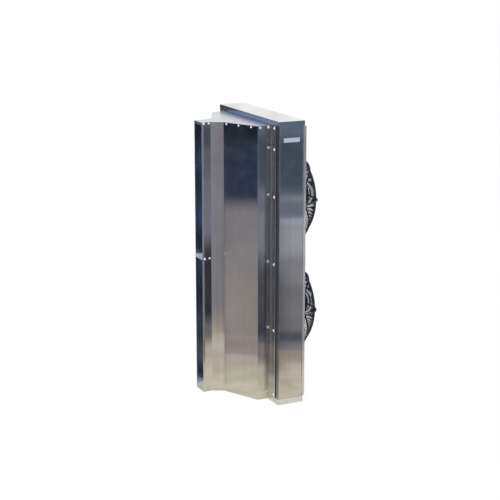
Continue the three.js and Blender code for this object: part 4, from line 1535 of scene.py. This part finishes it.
    def floor(self) -> None:
        """Pale floor that keeps the object's soft shadow."""
        reach = self.floor_reach
        corners = [(-reach, -reach, 0.0), (reach, -reach, 0.0), (reach, reach, 0.0), (-reach, reach, 0.0)]
        floor = new_piece("floor", corners, [(0, 1, 2, 3)])
        material = bpy.data.materials.new("pale_floor")
        graph = self.shader(material)
        paint = graph.add("ShaderNodeBsdfDiffuse", {"Color": (*(self.floor_paint,) * 3, 1.0)})
        white = graph.add("ShaderNodeEmission", {"Color": WHITE, "Strength": self.floor_glow})
        share = graph.math("MULTIPLY", self.seen(graph), self.floor_share)
        mixed = graph.add("ShaderNodeMixShader", {0: share, 1: paint, 2: white})
        graph.put(graph.add("ShaderNodeOutputMaterial").inputs[0], mixed)
        floor.data.materials.append(material)

    def window(self, graph: Graph, value: Value, span: Flat, soft: float) -> Socket:
        """A soft-edged window on a value.

        Args:
            graph: The screen's material.
            value: The azimuth or the height.
            span: Where the window starts and ends.
            soft: Half the width of its soft edges.

        Returns:
            1 inside the window, 0 outside.
        """
        start = graph.remap(value, span[0] - soft, span[0] + soft, 0.0, 1.0)
        end = graph.remap(value, span[1] - soft, span[1] + soft, 1.0, 0.0)
        return graph.math("MULTIPLY", start, end)

    def laid(self, graph: Graph, cards: tuple[Card, ...], azimuth: Value, height: Value, colour: Value) -> Socket:
        """Lays cards over a colour, one after another.

        Args:
            graph: The screen's material.
            cards: The cards.
            azimuth: Azimuth of the point.
            height: Its height on the wall, or its distance on the floor.
            colour: The colour beneath the cards.

        Returns:
            The colour with the cards on it.
        """
        for card in cards:
            across = self.window(graph, azimuth, card.azimuth, card.soft_turn)
            upward = self.window(graph, height, card.height, card.soft_height)
            colour = graph.mix(graph.math("MULTIPLY", across, upward), colour, card.colour)
            colour.node.label = card.name
        return colour

    def ground(self, graph: Graph, distance: Value) -> Socket:
        """Colour of the screen's floor by the distance from its middle.

        Args:
            graph: The screen's material.
            distance: The distance.

        Returns:
            The colour.
        """
        ramp = graph.add("ShaderNodeValToRGB", {0: distance})
        elements = ramp.color_ramp.elements
        while len(elements) < len(self.floor_tones):
            elements.new(1.0)
        for element, (radius, tone) in zip(elements, self.floor_tones):
            element.position, element.color = radius, (*tone, 1.0)
        return ramp.outputs[0]

    def screen(self) -> None:
        """Screen of cards round the object, seen only in reflections."""
        steps = self.screen_steps
        ring = circle((0.0, 0.0), self.screen_radius, steps)
        points = [(x, y, z) for z in (self.screen_lift, self.screen_height) for x, y in ring]
        faces = [(i, (i + 1) % steps, (i + 1) % steps + steps, i + steps) for i in range(steps)]
        screen = new_piece("reflection_screen", points, [*faces, tuple(range(steps))])
        material = bpy.data.materials.new("screen_of_cards")
        material.cycles.emission_sampling = "NONE"
        graph = self.shader(material)
        place = graph.add("ShaderNodeTexCoord").outputs["Object"]
        axes = graph.add("ShaderNodeSeparateXYZ", {0: place}).outputs
        azimuth = graph.math("DEGREES", graph.math("ARCTAN2", axes["Y"], axes["X"]))
        distance = graph.add("ShaderNodeVectorMath", {0: place}, operation="LENGTH").outputs["Value"]
        wall = self.laid(graph, self.cards, azimuth, axes["Z"], self.wall_tone)
        floor = self.laid(graph, self.patches, azimuth, distance, self.ground(graph, distance))
        low = graph.remap(axes["Z"], self.screen_lift, 2 * self.screen_lift, 1.0, 0.0)
        mottle = graph.add("ShaderNodeTexNoise", {"Vector": place, "Scale": self.mottle_scale, "Detail": 4.0})
        level = graph.remap(mottle, 0.3, 0.7, 1 - self.mottle, 1 + self.mottle)
        glow = graph.add("ShaderNodeEmission", {"Color": graph.mix(low, wall, floor), "Strength": level})
        graph.put(graph.add("ShaderNodeOutputMaterial").inputs[0], glow)
        screen.data.materials.append(material)
        for ray in ("camera", "diffuse", "transmission", "volume_scatter", "shadow"):
            setattr(screen, f"visible_{ray}", False)

    def light(self) -> None:
        """One large soft lamp from the camera's left and a weaker one from behind."""
        for lamp in self.lamps:
            data = bpy.data.lights.new(lamp.name, "AREA")
            data.size, data.energy = lamp.size, lamp.power
            light = bpy.data.objects.new(lamp.name, data)
            light.location = lamp.place
            light.rotation_euler = (Vector(lamp.place) - Vector(lamp.aim)).to_track_quat("Z", "Y").to_euler()
            light.visible_glossy = lamp.mirrored
            bpy.context.scene.collection.objects.link(light)

    def build(self) -> None:
        """Builds the studio around the object."""
        self.world()
        self.floor()
        self.screen()
        self.light()
        bpy.context.scene.view_settings.view_transform = "Standard"


def main() -> None:
    """Builds the camera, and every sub-assembly and the studio."""
    logging.basicConfig(level=logging.INFO, format="%(message)s")
    studio = Studio()
    studio.camera()
    shop = Workshop()
    for assembly in (Cabinet(shop), Nozzle(shop), Fan(shop, "upper"), Fan(shop, "lower"), Terminals(shop)):
        assembly.build()
    shop.clear()
    studio.build()


if __name__ == "__main__":
    main()
